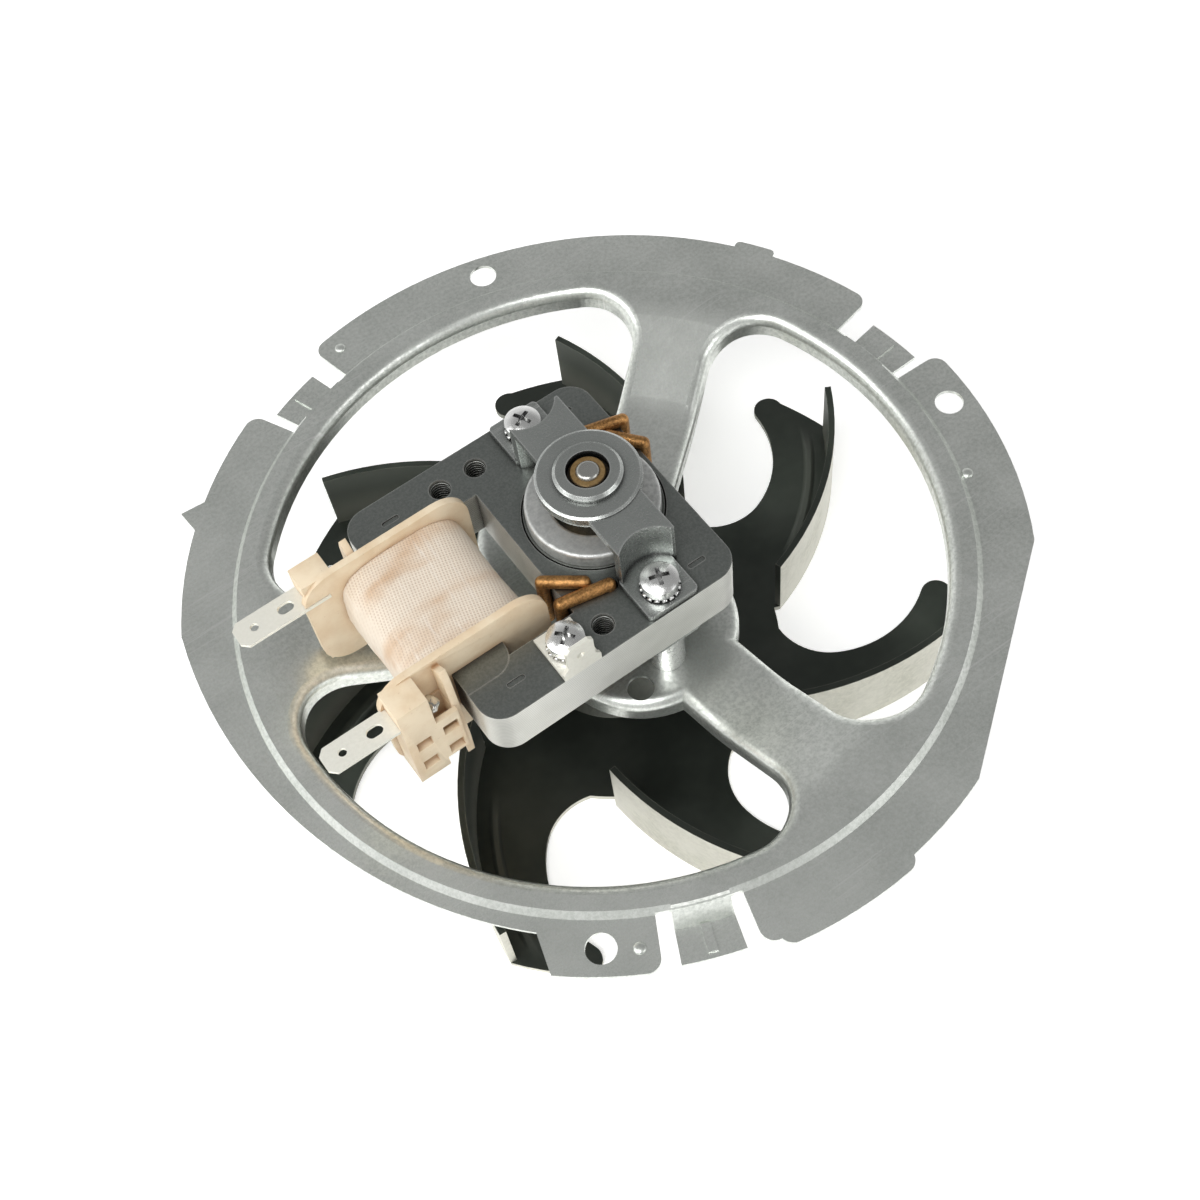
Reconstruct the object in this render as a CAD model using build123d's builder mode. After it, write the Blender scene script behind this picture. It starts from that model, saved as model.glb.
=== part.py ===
from build123d import *
import os
from math import cos, radians, sin, sqrt

# Shaded-pole oven fan motor on its pressed mounting plate, with a seven-armed impeller below.
# The origin is on the shaft axis, in the plane of the mounting flange's underside.
# +Z points away from the impeller, and +X runs along the laminations from coil to rotor.
# All sizes are in millimetres, and all angles in degrees, counter-clockwise from +X.

os.makedirs("parts", exist_ok=True)

# Mounting plate: sheet, step and flange
plate_sheet = 0.9
plate_step = 1.4
step_width = 5.8
step_run = 1.3
flange_width = 12.6
flange_corner = 3.0
sector_a = (12.3, 102.8)
sector_b = (-105.5, -1.5)
sector_c = (116.5, 242.0)
bump_a = (28.5, 34.5)
bump_rise = 1.8
sector_b_chord_inset = 4.6
sector_b_chord_angle = -53.0
sector_b_lobe = (-103.5, -84.0)
sector_b_lobe_rise = 1.9
sector_c_scoop = ((8.2, 226.0), (8.0, 196.0), (5.7, 177.0), (0.1, 154.0))
sector_c_point_rise = 4.4
sector_c_point_angle = 134.5
sector_c_point_width = 3.5
flange_hole_radius = 3.2
flange_holes = ((5.7, 74.1), (5.7, -9.5), (5.6, -125.4))

# Mounting plate: bent tabs between the sectors
tab_angles = (109.3, 5.8, -111.5)
tab_half_angle = 4.2
tab_drop = 5.9
tab_knee_reach = 3.3
tab_end_reach = 10.5
tab_rib_width = 2.0
tab_rib_height = 0.5

# Mounting plate: spokes, dished hub and rolled edges
opening_radius = 74.2
roll_radius = 2.5
lip_depth = 5.5
spoke_directions = (39.5, -81.5, 159.5)
spoke_width = 18.6
hub_end_radius = 21.0
hub_end_offset = 14.0
hub_drop = 8.0
dish_width = 26.5
dish_rim_inset = 2.7
dish_blend = 25.0
outer_corner = 11.5
inner_corner = 8.0
plate_shaft_hole_radius = 9.0
hub_hole_radius = 2.95
hub_holes = ((-9.8, -27.2), (-9.8, 27.2))

# Laminations
stack_bottom = 9.4
stack_height = 12.9
stack_half_width = 29.7
stack_rotor_end = 16.0
stack_coil_end = -44.5
stack_corner = 5.5
stator_bore_radius = 15.1
window_end = -17.5
window_half_width = 17.9
limb_width = 12.0
limb_tenon = 2.6
limb_corner = 5.0
stack_hole_radius = 2.4
stack_holes = ((-14.0, 23.7), (-22.8, 23.7), (-14.4, -23.7))
rivet_mark_size = (4.0, 1.1)
rivet_mark_depth = 0.25
rivet_marks = ((-35.2, 23.6), (-35.2, -23.6), (8.8, -23.7), (8.8, 23.7))

# Through screws, spacers and nuts
screw_x = -0.7
screw_y = 24.4
shank_radius = 1.95
shank_hole_radius = 2.1
head_radius = 3.9
head_height = 3.2
head_dome = 1.1
recess_length = 4.2
recess_width = 0.9
recess_depth = 1.7
toothed_washer_radius = 4.3
toothed_washer_height = 1.0
toothed_washer_teeth = 10
spacer_radius = 3.9
nut_across_flats = 7.0
nut_height = 3.2
screw_tail = 1.2

# Earth connection
earth_x = -22.9
earth_y = -23.5
earth_shank_radius = 1.45
earth_shank_hole_radius = 1.5
earth_shank_length = 9.0
earth_sheet = 0.8
earth_foot = (-27.6, -18.8)
earth_foot_back = -18.6
earth_spade_width = 6.3
earth_spade_height = 10.0

# Shading rings: inner leg and outer leg of each loop
shading_wire = 1.1
shading_hole_clearance = 0.1
shading_rings_legs = (
    ((-12.0, -13.9), (-18.8, -8.6)),
    ((-7.7, -17.5), (-18.8, -15.2)),
    ((12.6, 12.2), (17.3, 6.2)),
    ((9.0, 16.2), (17.3, 13.8)),
)

# Bearing brackets
bracket_sheet = 1.5
strap_rise = 11.9
strap_half_width = 6.3
pocket_radius = 7.5
foot_half_width = 6.0
foot_outer_gap = 0.3
dome_radius = 11.0
dome_rise = 0.6
boss_radius = 7.2
boss_rise = 1.5
boss_hole_radius = 4.5
bush_sphere_radius = 6.2
bush_centre_rise = 7.7
bush_neck_radius = 3.8
bush_neck_rise = 13.4
bush_foot_drop = 4.4
bush_seat_clearance = 0.05
retainer_radius = 10.0
retainer_sheet = 0.5
felt_height = 1.6

# Rotor
air_gap = 0.35
rotor_bar_count = 15
rotor_bar_radius = 1.1
rotor_bar_circle = 12.6
cage_outer_radius = 14.2
cage_inner_radius = 8.6
cage_height = 3.5
cage_edge = 0.8
shaft_radius = 2.5
shaft_running_clearance = 0.03
shaft_top = 36.4
washer_radius = 4.4
washer_play = 0.25

# Bobbin, coil and terminals
limb_clearance = 0.2
bobbin_wall = 1.2
bobbin_inner_half_length = 15.5
flange_thickness = 2.0
bobbin_rotor_end = -21.3
bobbin_terminal_end = -56.0
bobbin_half_height = 15.4
bobbin_corner = 4.0
tape_thickness = 0.6
coil_half_width = 14.5
coil_half_height = 14.3
coil_corner = 5.0
coil_crown = 0.9
coil_end_clearance = 0.1
terminal_height = 24.8
terminal_y = 17.3
terminal_width = 6.3
terminal_sheet = 0.8
terminal_root = -54.6
terminal_tip = -75.0
terminal_chamfer = 1.4
terminal_dimple_radius = 0.9
terminal_dimple_inset = 4.2
terminal_window = (3.6, 2.4)
terminal_window_inset = 11.5
block_front = -60.0
block_bottom = 6.0
block_top = 28.4
block_inner = 12.6
block_outer = 24.4
block_cap_rise = 2.4
block_cap_inner = 18.0
block_cap_depth = 6.5

# Impeller
blade_count = 7
blade_tip_radius = 80.0
blade_root_radius = 40.2
blade_sweep = -35.0
blade_arc_radius = 70.0
blade_height = 18.0
blade_first_angle = 12.4
impeller_sheet = 1.5
impeller_top = -37.7
impeller_hub_radius = 38.7
arm_tip_angle = 10.4
arm_edge = ((6.4, 13.0), (15.5, 4.5), (28.0, -0.7))
arm_valley = (38.7, 8.0)
dish_top_radius = 13.0
dish_foot_radius = 19.0
dish_rise = 7.0
collar_radius = 7.0
collar_height = 9.0
impeller_washer_radius = 6.0
impeller_washer_height = 1.0
impeller_nut_across_flats = 8.0
impeller_nut_height = 4.0

# Levels and radii that follow from the sizes above
step_radius = opening_radius + step_width
flange_radius = step_radius + flange_width
tab_knee_radius = step_radius + tab_knee_reach
tab_end_radius = step_radius + tab_end_reach
dish_rim_radius = opening_radius - dish_rim_inset
hub_flat_radius = dish_rim_radius - dish_width
flange_top = plate_sheet
annulus_top = plate_sheet + plate_step
hub_top = annulus_top - hub_drop
hub_bottom = hub_top - plate_sheet
stack_top = stack_bottom + stack_height
stack_middle = stack_bottom + stack_height / 2
foot_top = stack_top + bracket_sheet
head_bottom = foot_top + toothed_washer_height
impeller_bottom = impeller_top - impeller_sheet
dish_top = impeller_top + dish_rise
dish_underside = dish_top - impeller_sheet
rotor_radius = stator_bore_radius - air_gap
limb_centre = stack_coil_end + limb_width / 2
plate_rim = opening_radius + roll_radius + 0.5
shaft_bottom = dish_underside - impeller_washer_height - impeller_nut_height - 0.8


def polar(radius, angle):
    return (radius * cos(radians(angle)), radius * sin(radians(angle)))


def radial_plane(angle):
    """The upright plane through the shaft axis, with its x along the given direction."""
    across, along = polar(1, angle)
    return Plane(origin=(0, 0, 0), x_dir=(across, along, 0), z_dir=(along, -across, 0))


def ring_sector(inner, outer, span, corner=0.0):
    """A sketch of part of a flat ring between two angles, with its outer corners rounded."""
    start, end = span
    with BuildSketch() as sector:
        with BuildLine():
            Line(polar(inner, start), polar(outer, start))
            CenterArc((0, 0), outer, start, end - start)
            Line(polar(outer, end), polar(inner, end))
            CenterArc((0, 0), inner, end, start - end)
        make_face()
        if corner:
            outer_ends = sector.vertices().filter_by(lambda v: hypot_xy(v) > outer - 0.01)
            fillet(outer_ends, corner)
    return sector.sketch


def hypot_xy(point):
    return sqrt(point.X ** 2 + point.Y ** 2)


def openings_outline(skin):
    """The three plate openings, each set back by the given skin."""
    with BuildSketch() as outline:
        Circle(opening_radius + skin)
        for direction in spoke_directions:
            with Locations(polar(opening_radius / 2 + 5, direction)):
                Rectangle(
                    opening_radius + 10,
                    spoke_width - 2 * skin,
                    rotation=direction,
                    mode=Mode.SUBTRACT,
                )
        SlotCenterToCenter(
            2 * hub_end_offset,
            2 * (hub_end_radius - skin),
            rotation=90,
            mode=Mode.SUBTRACT,
        )
        corners = outline.vertices()
        far = corners.filter_by(lambda v: hypot_xy(v) > opening_radius - 1)
        side = hub_end_radius - skin
        near = corners.filter_by(
            lambda v: hypot_xy(v) < opening_radius - 1
            and not (abs(abs(v.X) - side) < 0.01 and abs(abs(v.Y) - hub_end_offset) < 0.01)
        )
        fillet(far, outer_corner + skin)
        fillet(near, inner_corner + skin)
    return outline.sketch


def pressing(skin, depth):
    """The dished plate as a thick body with rolled edges round its openings."""
    rim = plate_rim
    top = annulus_top - skin
    low = hub_top - skin
    with BuildPart() as body:
        with BuildSketch(Plane.XZ):
            with BuildLine():
                Polyline(
                    (0, low),
                    (hub_flat_radius, low),
                    (dish_rim_radius, top),
                    (rim, top),
                    (rim, top - depth),
                    (dish_rim_radius, top - depth),
                    (hub_flat_radius, low - depth),
                    (0, low - depth),
                    close=True,
                )
            section = make_face()
            bends = section.vertices().filter_by(lambda v: 1 < v.X < rim - 1)
            fillet(bends, dish_blend)
        revolve(axis=Axis.Z)
        with BuildSketch(Plane.XY.offset(hub_top - 2 * depth)):
            add(openings_outline(skin))
        extrude(amount=hub_drop + 4 * depth, mode=Mode.SUBTRACT)
        walls = body.faces().filter_by(
            lambda f: abs(f.normal_at().Z) < 0.05 and hypot_xy(f.center()) < opening_radius + 0.2
        )
        rolled = ShapeList()
        for wall in walls:
            middle = wall.center().Z
            for edge in wall.edges():
                upright = abs(edge.tangent_at(0.5).Z) > 0.7
                if edge.center().Z > middle and not upright:
                    rolled.append(edge)
        fillet(rolled, roll_radius - skin)
    return body.part


plate_outer = pressing(0, lip_depth)
plate_inner = pressing(plate_sheet, lip_depth + 1)

with BuildPart() as flange_ring:
    with BuildSketch(Plane.XZ):
        with BuildLine():
            Polyline(
                (plate_rim, annulus_top),
                (step_radius, annulus_top),
                (step_radius + step_run, flange_top),
                (flange_radius + 8, flange_top),
                (flange_radius + 8, 0),
                (step_radius + step_run - plate_sheet / 2, 0),
                (step_radius - plate_sheet / 2, annulus_top - plate_sheet),
                (plate_rim, annulus_top - plate_sheet),
                close=True,
            )
        make_face()
    revolve(axis=Axis.Z)
    with BuildSketch(Plane.XY.offset(-1)) as flange_outline:
        Circle(step_radius + 0.9)
        inner = step_radius - 2
        add(ring_sector(inner, flange_radius, sector_a, flange_corner))
        add(ring_sector(inner, flange_radius + bump_rise, bump_a, 1.2))
        add(ring_sector(inner, flange_radius, sector_b, flange_corner))
        chord_depth = 2 * flange_width
        chord_centre = polar(flange_radius - sector_b_chord_inset + chord_depth / 2, sector_b_chord_angle)
        with Locations(chord_centre):
            Rectangle(chord_depth, flange_radius * 0.75, rotation=sector_b_chord_angle, mode=Mode.SUBTRACT)
        add(ring_sector(inner, flange_radius + sector_b_lobe_rise, sector_b_lobe, flange_corner))
        add(ring_sector(inner, flange_radius, sector_c, flange_corner))
        with BuildLine():
            scoop = [polar(flange_radius - inset, angle) for inset, angle in sector_c_scoop]
            lower_edge = Spline(scoop)
            over = [polar(flange_radius + 9, angle) for angle in (154.0, 190.0, 231.0)]
            Line(lower_edge @ 1, over[0])
            ThreePointArc(over[0], over[1], over[2])
            Line(over[2], lower_edge @ 0)
        make_face(mode=Mode.SUBTRACT)
        with BuildLine():
            Polyline(
                polar(flange_radius - 2, sector_c_point_angle + sector_c_point_width),
                polar(flange_radius + sector_c_point_rise, sector_c_point_angle),
                polar(flange_radius - 2, sector_c_point_angle - sector_c_point_width),
                close=True,
            )
        make_face()
    extrude(amount=annulus_top + 2, mode=Mode.INTERSECT)
    with Locations([polar(flange_radius - inset, angle) for inset, angle in flange_holes]):
        Hole(flange_hole_radius)

with BuildPart() as mounting_plate:
    add(plate_outer)
    add(plate_inner, mode=Mode.SUBTRACT, clean=False)
    with BuildSketch(Plane.XY.offset(hub_bottom - 1)):
        Circle(plate_shaft_hole_radius)
        with Locations(hub_holes):
            Circle(hub_hole_radius)
        with Locations((screw_x, screw_y), (screw_x, -screw_y)):
            Circle(shank_hole_radius)
    extrude(amount=plate_sheet + 2, mode=Mode.SUBTRACT, clean=False)
    add(flange_ring.part, clean=False)
    tab_top = annulus_top - tab_drop
    for tab_angle in tab_angles:
        with BuildSketch(radial_plane(tab_angle - tab_half_angle)):
            with BuildLine():
                Polyline(
                    (step_radius - 1.5, annulus_top),
                    (step_radius + 0.3, annulus_top),
                    (tab_knee_radius, tab_top),
                    (tab_end_radius, tab_top),
                    (tab_end_radius, tab_top - plate_sheet),
                    (tab_knee_radius - plate_sheet * 0.7, tab_top - plate_sheet),
                    (step_radius - plate_sheet * 0.4, annulus_top - plate_sheet),
                    (step_radius - 1.5, annulus_top - plate_sheet),
                    close=True,
                )
            make_face()
        revolve(axis=Axis.Z, revolution_arc=2 * tab_half_angle, clean=False)
        rib_plane = Plane(
            origin=(*polar(tab_knee_radius, tab_angle), tab_top),
            x_dir=(*polar(1, tab_angle + 90), 0),
            z_dir=(*polar(1, tab_angle), 0),
        )
        with BuildSketch(rib_plane):
            with Locations((0, tab_rib_height / 2 - 0.1)):
                Rectangle(tab_rib_width, tab_rib_height + 0.2)
        extrude(amount=tab_end_radius - tab_knee_radius - 1.2, clean=False)
mounting_plate.part.label = "mounting_plate"

# The stack of laminations, open at the coil end, where the limb with the coil closes it
limb_half_length = window_half_width + limb_tenon


def limb_outline(clearance=0.0):
    with BuildSketch() as outline:
        with BuildLine():
            left = stack_coil_end
            right = stack_coil_end + limb_width + clearance
            end = limb_half_length + clearance
            Polyline((left, -end), (right, -end), (right, end), (left, end), close=True)
        make_face()
        fillet(outline.vertices().group_by(Axis.X)[-1], limb_corner)
    return outline.sketch


with BuildPart() as stator_core:
    with BuildSketch(Plane.XY.offset(stack_bottom)) as stator_outline:
        stack_length = stack_rotor_end - stack_coil_end
        with Locations(((stack_rotor_end + stack_coil_end) / 2, 0)):
            Rectangle(stack_length, 2 * stack_half_width)
        fillet(stator_outline.vertices(), stack_corner)
        window_length = window_end - stack_coil_end
        with Locations((window_end - window_length / 2, 0)):
            Rectangle(window_length, 2 * window_half_width, mode=Mode.SUBTRACT)
        add(limb_outline(), mode=Mode.SUBTRACT)
        Circle(stator_bore_radius, mode=Mode.SUBTRACT)
        with Locations(stack_holes):
            Circle(stack_hole_radius, mode=Mode.SUBTRACT)
        with Locations((screw_x, screw_y), (screw_x, -screw_y)):
            Circle(shank_hole_radius, mode=Mode.SUBTRACT)
        with Locations((earth_x, earth_y)):
            Circle(earth_shank_hole_radius, mode=Mode.SUBTRACT)
        with Locations([inner_leg for inner_leg, outer_leg in shading_rings_legs]):
            Circle(shading_wire + shading_hole_clearance, mode=Mode.SUBTRACT)
    extrude(amount=stack_height)
    with BuildSketch(Plane.XY.offset(stack_top)):
        with Locations(rivet_marks):
            SlotOverall(*rivet_mark_size)
    extrude(amount=-rivet_mark_depth, mode=Mode.SUBTRACT)
stator_core.part.label = "stator_core"

with BuildPart() as coil_core:
    with BuildSketch(Plane.XY.offset(stack_bottom)):
        add(limb_outline())
    extrude(amount=stack_height)
coil_core.part.label = "coil_core"

with BuildPart() as shading_rings:
    bar_top = stack_top + shading_wire
    bar_bottom = stack_bottom - shading_wire
    for inner_leg, outer_leg in shading_rings_legs:
        with BuildLine() as loop:
            FilletPolyline(
                (*inner_leg, bar_bottom),
                (*inner_leg, bar_top),
                (*outer_leg, bar_top),
                (*outer_leg, bar_bottom),
                radius=shading_wire + 0.2,
                close=True,
            )
        with BuildSketch(Plane(origin=loop.line @ 0, z_dir=loop.line % 0)):
            Circle(shading_wire)
        sweep(path=loop.line)
shading_rings.part.label = "shading_rings"


def bracket(direction):
    """One bearing strap; direction is 1 on top of the stack and -1 below it."""
    base = stack_top if direction > 0 else stack_bottom

    def level(rise):
        return base + direction * rise

    with BuildPart() as strap:
        pocket_reach = sqrt(pocket_radius ** 2 - strap_half_width ** 2)
        with BuildSketch(Plane.XY.offset(level(strap_rise - bracket_sheet))):
            Rectangle(2 * strap_half_width, 2 * (screw_y - pocket_reach))
            Circle(dome_radius - 1, mode=Mode.SUBTRACT)
            with Locations((screw_x, screw_y), (screw_x, -screw_y)):
                Circle(pocket_radius, mode=Mode.SUBTRACT)
        extrude(amount=direction * bracket_sheet)
        with BuildSketch(Plane.XY.offset(base)):
            for side in (1, -1):
                with Locations((screw_x, side * screw_y)):
                    Circle(pocket_radius + bracket_sheet)
                    Circle(pocket_radius, mode=Mode.SUBTRACT)
            Rectangle(
                2 * strap_half_width,
                2 * (screw_y - pocket_reach),
                mode=Mode.INTERSECT,
            )
        extrude(amount=direction * strap_rise)
        with BuildSketch(Plane.XY.offset(base)) as feet:
            foot_end = stack_half_width - foot_outer_gap
            for side in (1, -1):
                with Locations((screw_x, side * screw_y)):
                    Circle(pocket_radius + bracket_sheet / 2)
                with Locations((screw_x, side * (screw_y + foot_end) / 2)):
                    Rectangle(2 * foot_half_width, foot_end - screw_y)
            with Locations((screw_x, 0)):
                Rectangle(2 * foot_half_width, 2 * foot_end, mode=Mode.INTERSECT)
            foot_ends = feet.vertices().filter_by(lambda v: abs(v.Y) > foot_end - 0.1)
            fillet(foot_ends, 1.0)
        extrude(amount=direction * bracket_sheet)
        seat = bush_sphere_radius + bush_seat_clearance
        seat_rise = bush_centre_rise + sqrt(seat ** 2 - boss_hole_radius ** 2)
        under_rise = strap_rise - bracket_sheet
        seat_edge = sqrt(seat ** 2 - (under_rise - bush_centre_rise) ** 2)
        middle_radius = (seat_edge + boss_hole_radius) / 2
        middle_rise = bush_centre_rise + sqrt(seat ** 2 - middle_radius ** 2)
        shoulder_rise = strap_rise + dome_rise
        crown_rise = shoulder_rise + boss_rise
        with BuildSketch(Plane.XZ):
            with BuildLine():
                Polyline(
                    (seat_edge, level(under_rise)),
                    (dome_radius, level(under_rise)),
                    (dome_radius, level(shoulder_rise - 0.3)),
                    (dome_radius - 0.5, level(shoulder_rise)),
                    (boss_radius, level(shoulder_rise)),
                    (boss_radius, level(crown_rise - 0.6)),
                    (boss_radius - 0.6, level(crown_rise)),
                    (boss_hole_radius, level(crown_rise)),
                    (boss_hole_radius, level(seat_rise)),
                )
                ThreePointArc(
                    (boss_hole_radius, level(seat_rise)),
                    (middle_radius, level(middle_rise)),
                    (seat_edge, level(under_rise)),
                )
            make_face()
        revolve(axis=Axis.Z)
        with Locations((screw_x, screw_y, base), (screw_x, -screw_y, base)):
            Cylinder(shank_hole_radius, 4 * bracket_sheet, mode=Mode.SUBTRACT)
    return strap.part


def bush(direction):
    """A self-aligning sintered bush: a ball with a neck towards the outside."""
    base = stack_top if direction > 0 else stack_bottom
    centre = base + direction * bush_centre_rise
    with BuildPart() as ball:
        with Locations((0, 0, centre)):
            Sphere(bush_sphere_radius)
        low = centre - direction * bush_foot_drop
        high = centre + direction * bush_foot_drop
        with Locations((0, 0, (low + high) / 2)):
            ball_box = 3 * bush_sphere_radius
            Box(ball_box, ball_box, 2 * bush_foot_drop, mode=Mode.INTERSECT)
        neck_end = base + direction * bush_neck_rise
        with BuildSketch(Plane.XY.offset(centre)):
            Circle(bush_neck_radius)
        extrude(amount=neck_end - centre)
        outer_rim = ball.edges().filter_by(GeomType.CIRCLE).filter_by(
            lambda e: abs(e.center().Z - neck_end) < 0.01
        )
        chamfer(outer_rim, 0.3)
        with Locations((0, 0, centre)):
            Cylinder(shaft_radius + shaft_running_clearance, 4 * bush_neck_rise, mode=Mode.SUBTRACT)
    return ball.part


def retainer(direction):
    """The spring plate that presses the bush into its seat from the rotor's side."""
    base = stack_top if direction > 0 else stack_bottom
    under_strap = base + direction * (strap_rise - bracket_sheet)
    plate_level = under_strap - direction * (felt_height + retainer_sheet)
    centre = base + direction * bush_centre_rise
    depth = abs(plate_level - centre)
    inner = sqrt(bush_sphere_radius ** 2 - depth ** 2) + bush_seat_clearance
    with BuildPart() as plate:
        with BuildSketch(Plane.XY.offset(plate_level)):
            Circle(retainer_radius)
            Circle(inner, mode=Mode.SUBTRACT)
            with PolarLocations(retainer_radius, 3, start_angle=30):
                Circle(1.2, mode=Mode.SUBTRACT)
        extrude(amount=direction * retainer_sheet)
        with BuildSketch(Plane.XY.offset(plate_level)):
            Circle(retainer_radius)
            Circle(retainer_radius - retainer_sheet, mode=Mode.SUBTRACT)
            with PolarLocations(retainer_radius, 3, start_angle=30):
                Circle(1.2, mode=Mode.SUBTRACT)
        extrude(amount=direction * (felt_height + retainer_sheet))
    return plate.part


def felt(direction):
    """The oil felt between the strap and the retainer."""
    base = stack_top if direction > 0 else stack_bottom
    under_strap = base + direction * (strap_rise - bracket_sheet)
    with BuildPart() as ring:
        with BuildSketch(Plane.XY.offset(under_strap)):
            Circle(retainer_radius - retainer_sheet - 1.0)
            Circle(bush_sphere_radius + bush_seat_clearance, mode=Mode.SUBTRACT)
        extrude(amount=-direction * felt_height)
    return ring.part


with BuildPart() as upper_bracket:
    add(bracket(1))
upper_bracket.part.label = "upper_bracket"

with BuildPart() as lower_bracket:
    add(bracket(-1))
lower_bracket.part.label = "lower_bracket"

with BuildPart() as upper_bush:
    add(bush(1))
upper_bush.part.label = "upper_bush"

with BuildPart() as lower_bush:
    add(bush(-1))
lower_bush.part.label = "lower_bush"

with BuildPart() as upper_retainer:
    add(retainer(1))
upper_retainer.part.label = "upper_retainer"

with BuildPart() as lower_retainer:
    add(retainer(-1))
lower_retainer.part.label = "lower_retainer"

with BuildPart() as upper_felt:
    add(felt(1))
upper_felt.part.label = "upper_felt"

with BuildPart() as lower_felt:
    add(felt(-1))
lower_felt.part.label = "lower_felt"


def pan_screw(shank, length):
    """A pan-head screw with a cross recess, its head's underside at z = 0."""
    with BuildPart() as screw:
        with BuildSketch(Plane.XZ):
            with BuildLine():
                edge = head_height - head_dome
                Line((0, 0), (head_radius, 0))
                Line((head_radius, 0), (head_radius, edge))
                crown = ThreePointArc(
                    (head_radius, edge),
                    (head_radius * 0.62, head_height - head_dome * 0.32),
                    (0, head_height),
                )
                Line(crown @ 1, (0, 0))
            make_face()
        revolve(axis=Axis.Z)
        with BuildSketch(Plane.XY.offset(head_height - recess_depth)):
            Rectangle(recess_length, recess_width)
            Rectangle(recess_width, recess_length)
        extrude(amount=recess_depth + 1, mode=Mode.SUBTRACT)
        with BuildSketch(Plane.XY):
            Circle(shank)
        extrude(amount=-length)
        tip = screw.edges().filter_by(GeomType.CIRCLE).sort_by(Axis.Z)[0]
        chamfer(tip, 0.4)
    return screw.part


through_length = head_bottom - hub_bottom + nut_height + screw_tail
with BuildPart() as bracket_screws:
    long_screw = pan_screw(shank_radius, through_length)
    for side, turn in ((1, 25), (-1, 70)):
        add(Location((screw_x, side * screw_y, head_bottom), (0, 0, turn)) * long_screw)
bracket_screws.part.label = "bracket_screws"

earth_head_bottom = stack_top + earth_sheet + toothed_washer_height
with BuildPart() as earth_screw:
    short_screw = pan_screw(earth_shank_radius, earth_shank_length)
    add(Location((earth_x, earth_y, earth_head_bottom), (0, 0, 40)) * short_screw)
earth_screw.part.label = "earth_screw"

with BuildPart() as screw_washers:
    washer_places = (
        (screw_x, screw_y, foot_top),
        (screw_x, -screw_y, foot_top),
        (earth_x, earth_y, stack_top + earth_sheet),
    )
    for place in washer_places:
        with BuildSketch(Plane.XY.offset(place[2])):
            with Locations((place[0], place[1])):
                Circle(toothed_washer_radius)
            with Locations((place[0], place[1])):
                with PolarLocations(toothed_washer_radius + 0.1, toothed_washer_teeth):
                    Circle(0.55, mode=Mode.SUBTRACT)
            with Locations((place[0], place[1])):
                Circle(shank_hole_radius, mode=Mode.SUBTRACT)
        extrude(amount=toothed_washer_height)
screw_washers.part.label = "screw_washers"

lower_foot = stack_bottom - bracket_sheet
with BuildPart() as spacers:
    with BuildSketch(Plane.XY.offset(hub_top)):
        with Locations((screw_x, screw_y), (screw_x, -screw_y)):
            Circle(spacer_radius)
            Circle(shank_hole_radius, mode=Mode.SUBTRACT)
    extrude(amount=lower_foot - hub_top)
spacers.part.label = "spacers"

with BuildPart() as plate_nuts:
    with BuildSketch(Plane.XY.offset(hub_bottom)):
        with Locations((screw_x, screw_y), (screw_x, -screw_y)):
            RegularPolygon(nut_across_flats / 2, 6, major_radius=False)
            Circle(shank_hole_radius, mode=Mode.SUBTRACT)
    extrude(amount=-nut_height)
plate_nuts.part.label = "plate_nuts"

# The earth tab is one strip: a foot under its screw and a spade bent upright at the edge
earth_front = -stack_half_width
with BuildPart() as earth_tab:
    foot_left, foot_right = earth_foot
    foot_middle = (foot_left + foot_right) / 2
    with BuildSketch(Plane.XY.offset(stack_top)):
        with Locations((foot_middle, (earth_foot_back + earth_front) / 2)):
            Rectangle(foot_right - foot_left, earth_foot_back - earth_front)
        with Locations((earth_x, earth_y)):
            Circle(earth_shank_hole_radius, mode=Mode.SUBTRACT)
    extrude(amount=earth_sheet)
    spade_top = stack_top + earth_spade_height
    half_spade = earth_spade_width / 2
    with BuildSketch(Plane(origin=(foot_middle, earth_front, 0), x_dir=(1, 0, 0), z_dir=(0, -1, 0))):
        with BuildLine():
            Polyline(
                (foot_left - foot_middle, stack_top),
                (foot_left - foot_middle, stack_top + 2.0),
                (-half_spade, stack_top + 3.6),
                (-half_spade, spade_top - 1.0),
                (-half_spade + 1.0, spade_top),
                (half_spade - 1.0, spade_top),
                (half_spade, spade_top - 1.0),
                (half_spade, stack_top + 3.6),
                (foot_right - foot_middle, stack_top + 2.0),
                (foot_right - foot_middle, stack_top),
                close=True,
            )
        make_face()
        with Locations((0, spade_top - 4.0)):
            Circle(terminal_dimple_radius, mode=Mode.SUBTRACT)
    extrude(amount=-earth_sheet)
earth_tab.part.label = "earth_tab"


def centred_slab(half_width, half_height, corner, crown=0.0):
    """A rounded outline round the coil limb, in the plane across the limb."""
    with BuildSketch() as slab:
        with BuildLine():
            bottom_left = (-half_width, -half_height)
            bottom_right = (half_width, -half_height)
            top_right = (half_width, half_height)
            top_left = (-half_width, half_height)
            ThreePointArc(bottom_left, (0, -half_height - crown - 0.001), bottom_right)
            ThreePointArc(bottom_right, (half_width + crown + 0.001, 0), top_right)
            ThreePointArc(top_right, (0, half_height + crown + 0.001), top_left)
            ThreePointArc(top_left, (-half_width - crown - 0.001, 0), bottom_left)
        make_face()
        fillet(slab.vertices(), corner)
    return slab.sketch


# A plane across the limb: x is the part's x, y is the part's z, and its normal is -y
limb_section = Plane(origin=(limb_centre, 0, stack_middle), x_dir=(1, 0, 0), z_dir=(0, -1, 0))
tube_half_width = limb_width / 2 + limb_clearance + bobbin_wall
tube_half_height = stack_height / 2 + limb_clearance + bobbin_wall
flange_outer = bobbin_inner_half_length + flange_thickness

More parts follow.
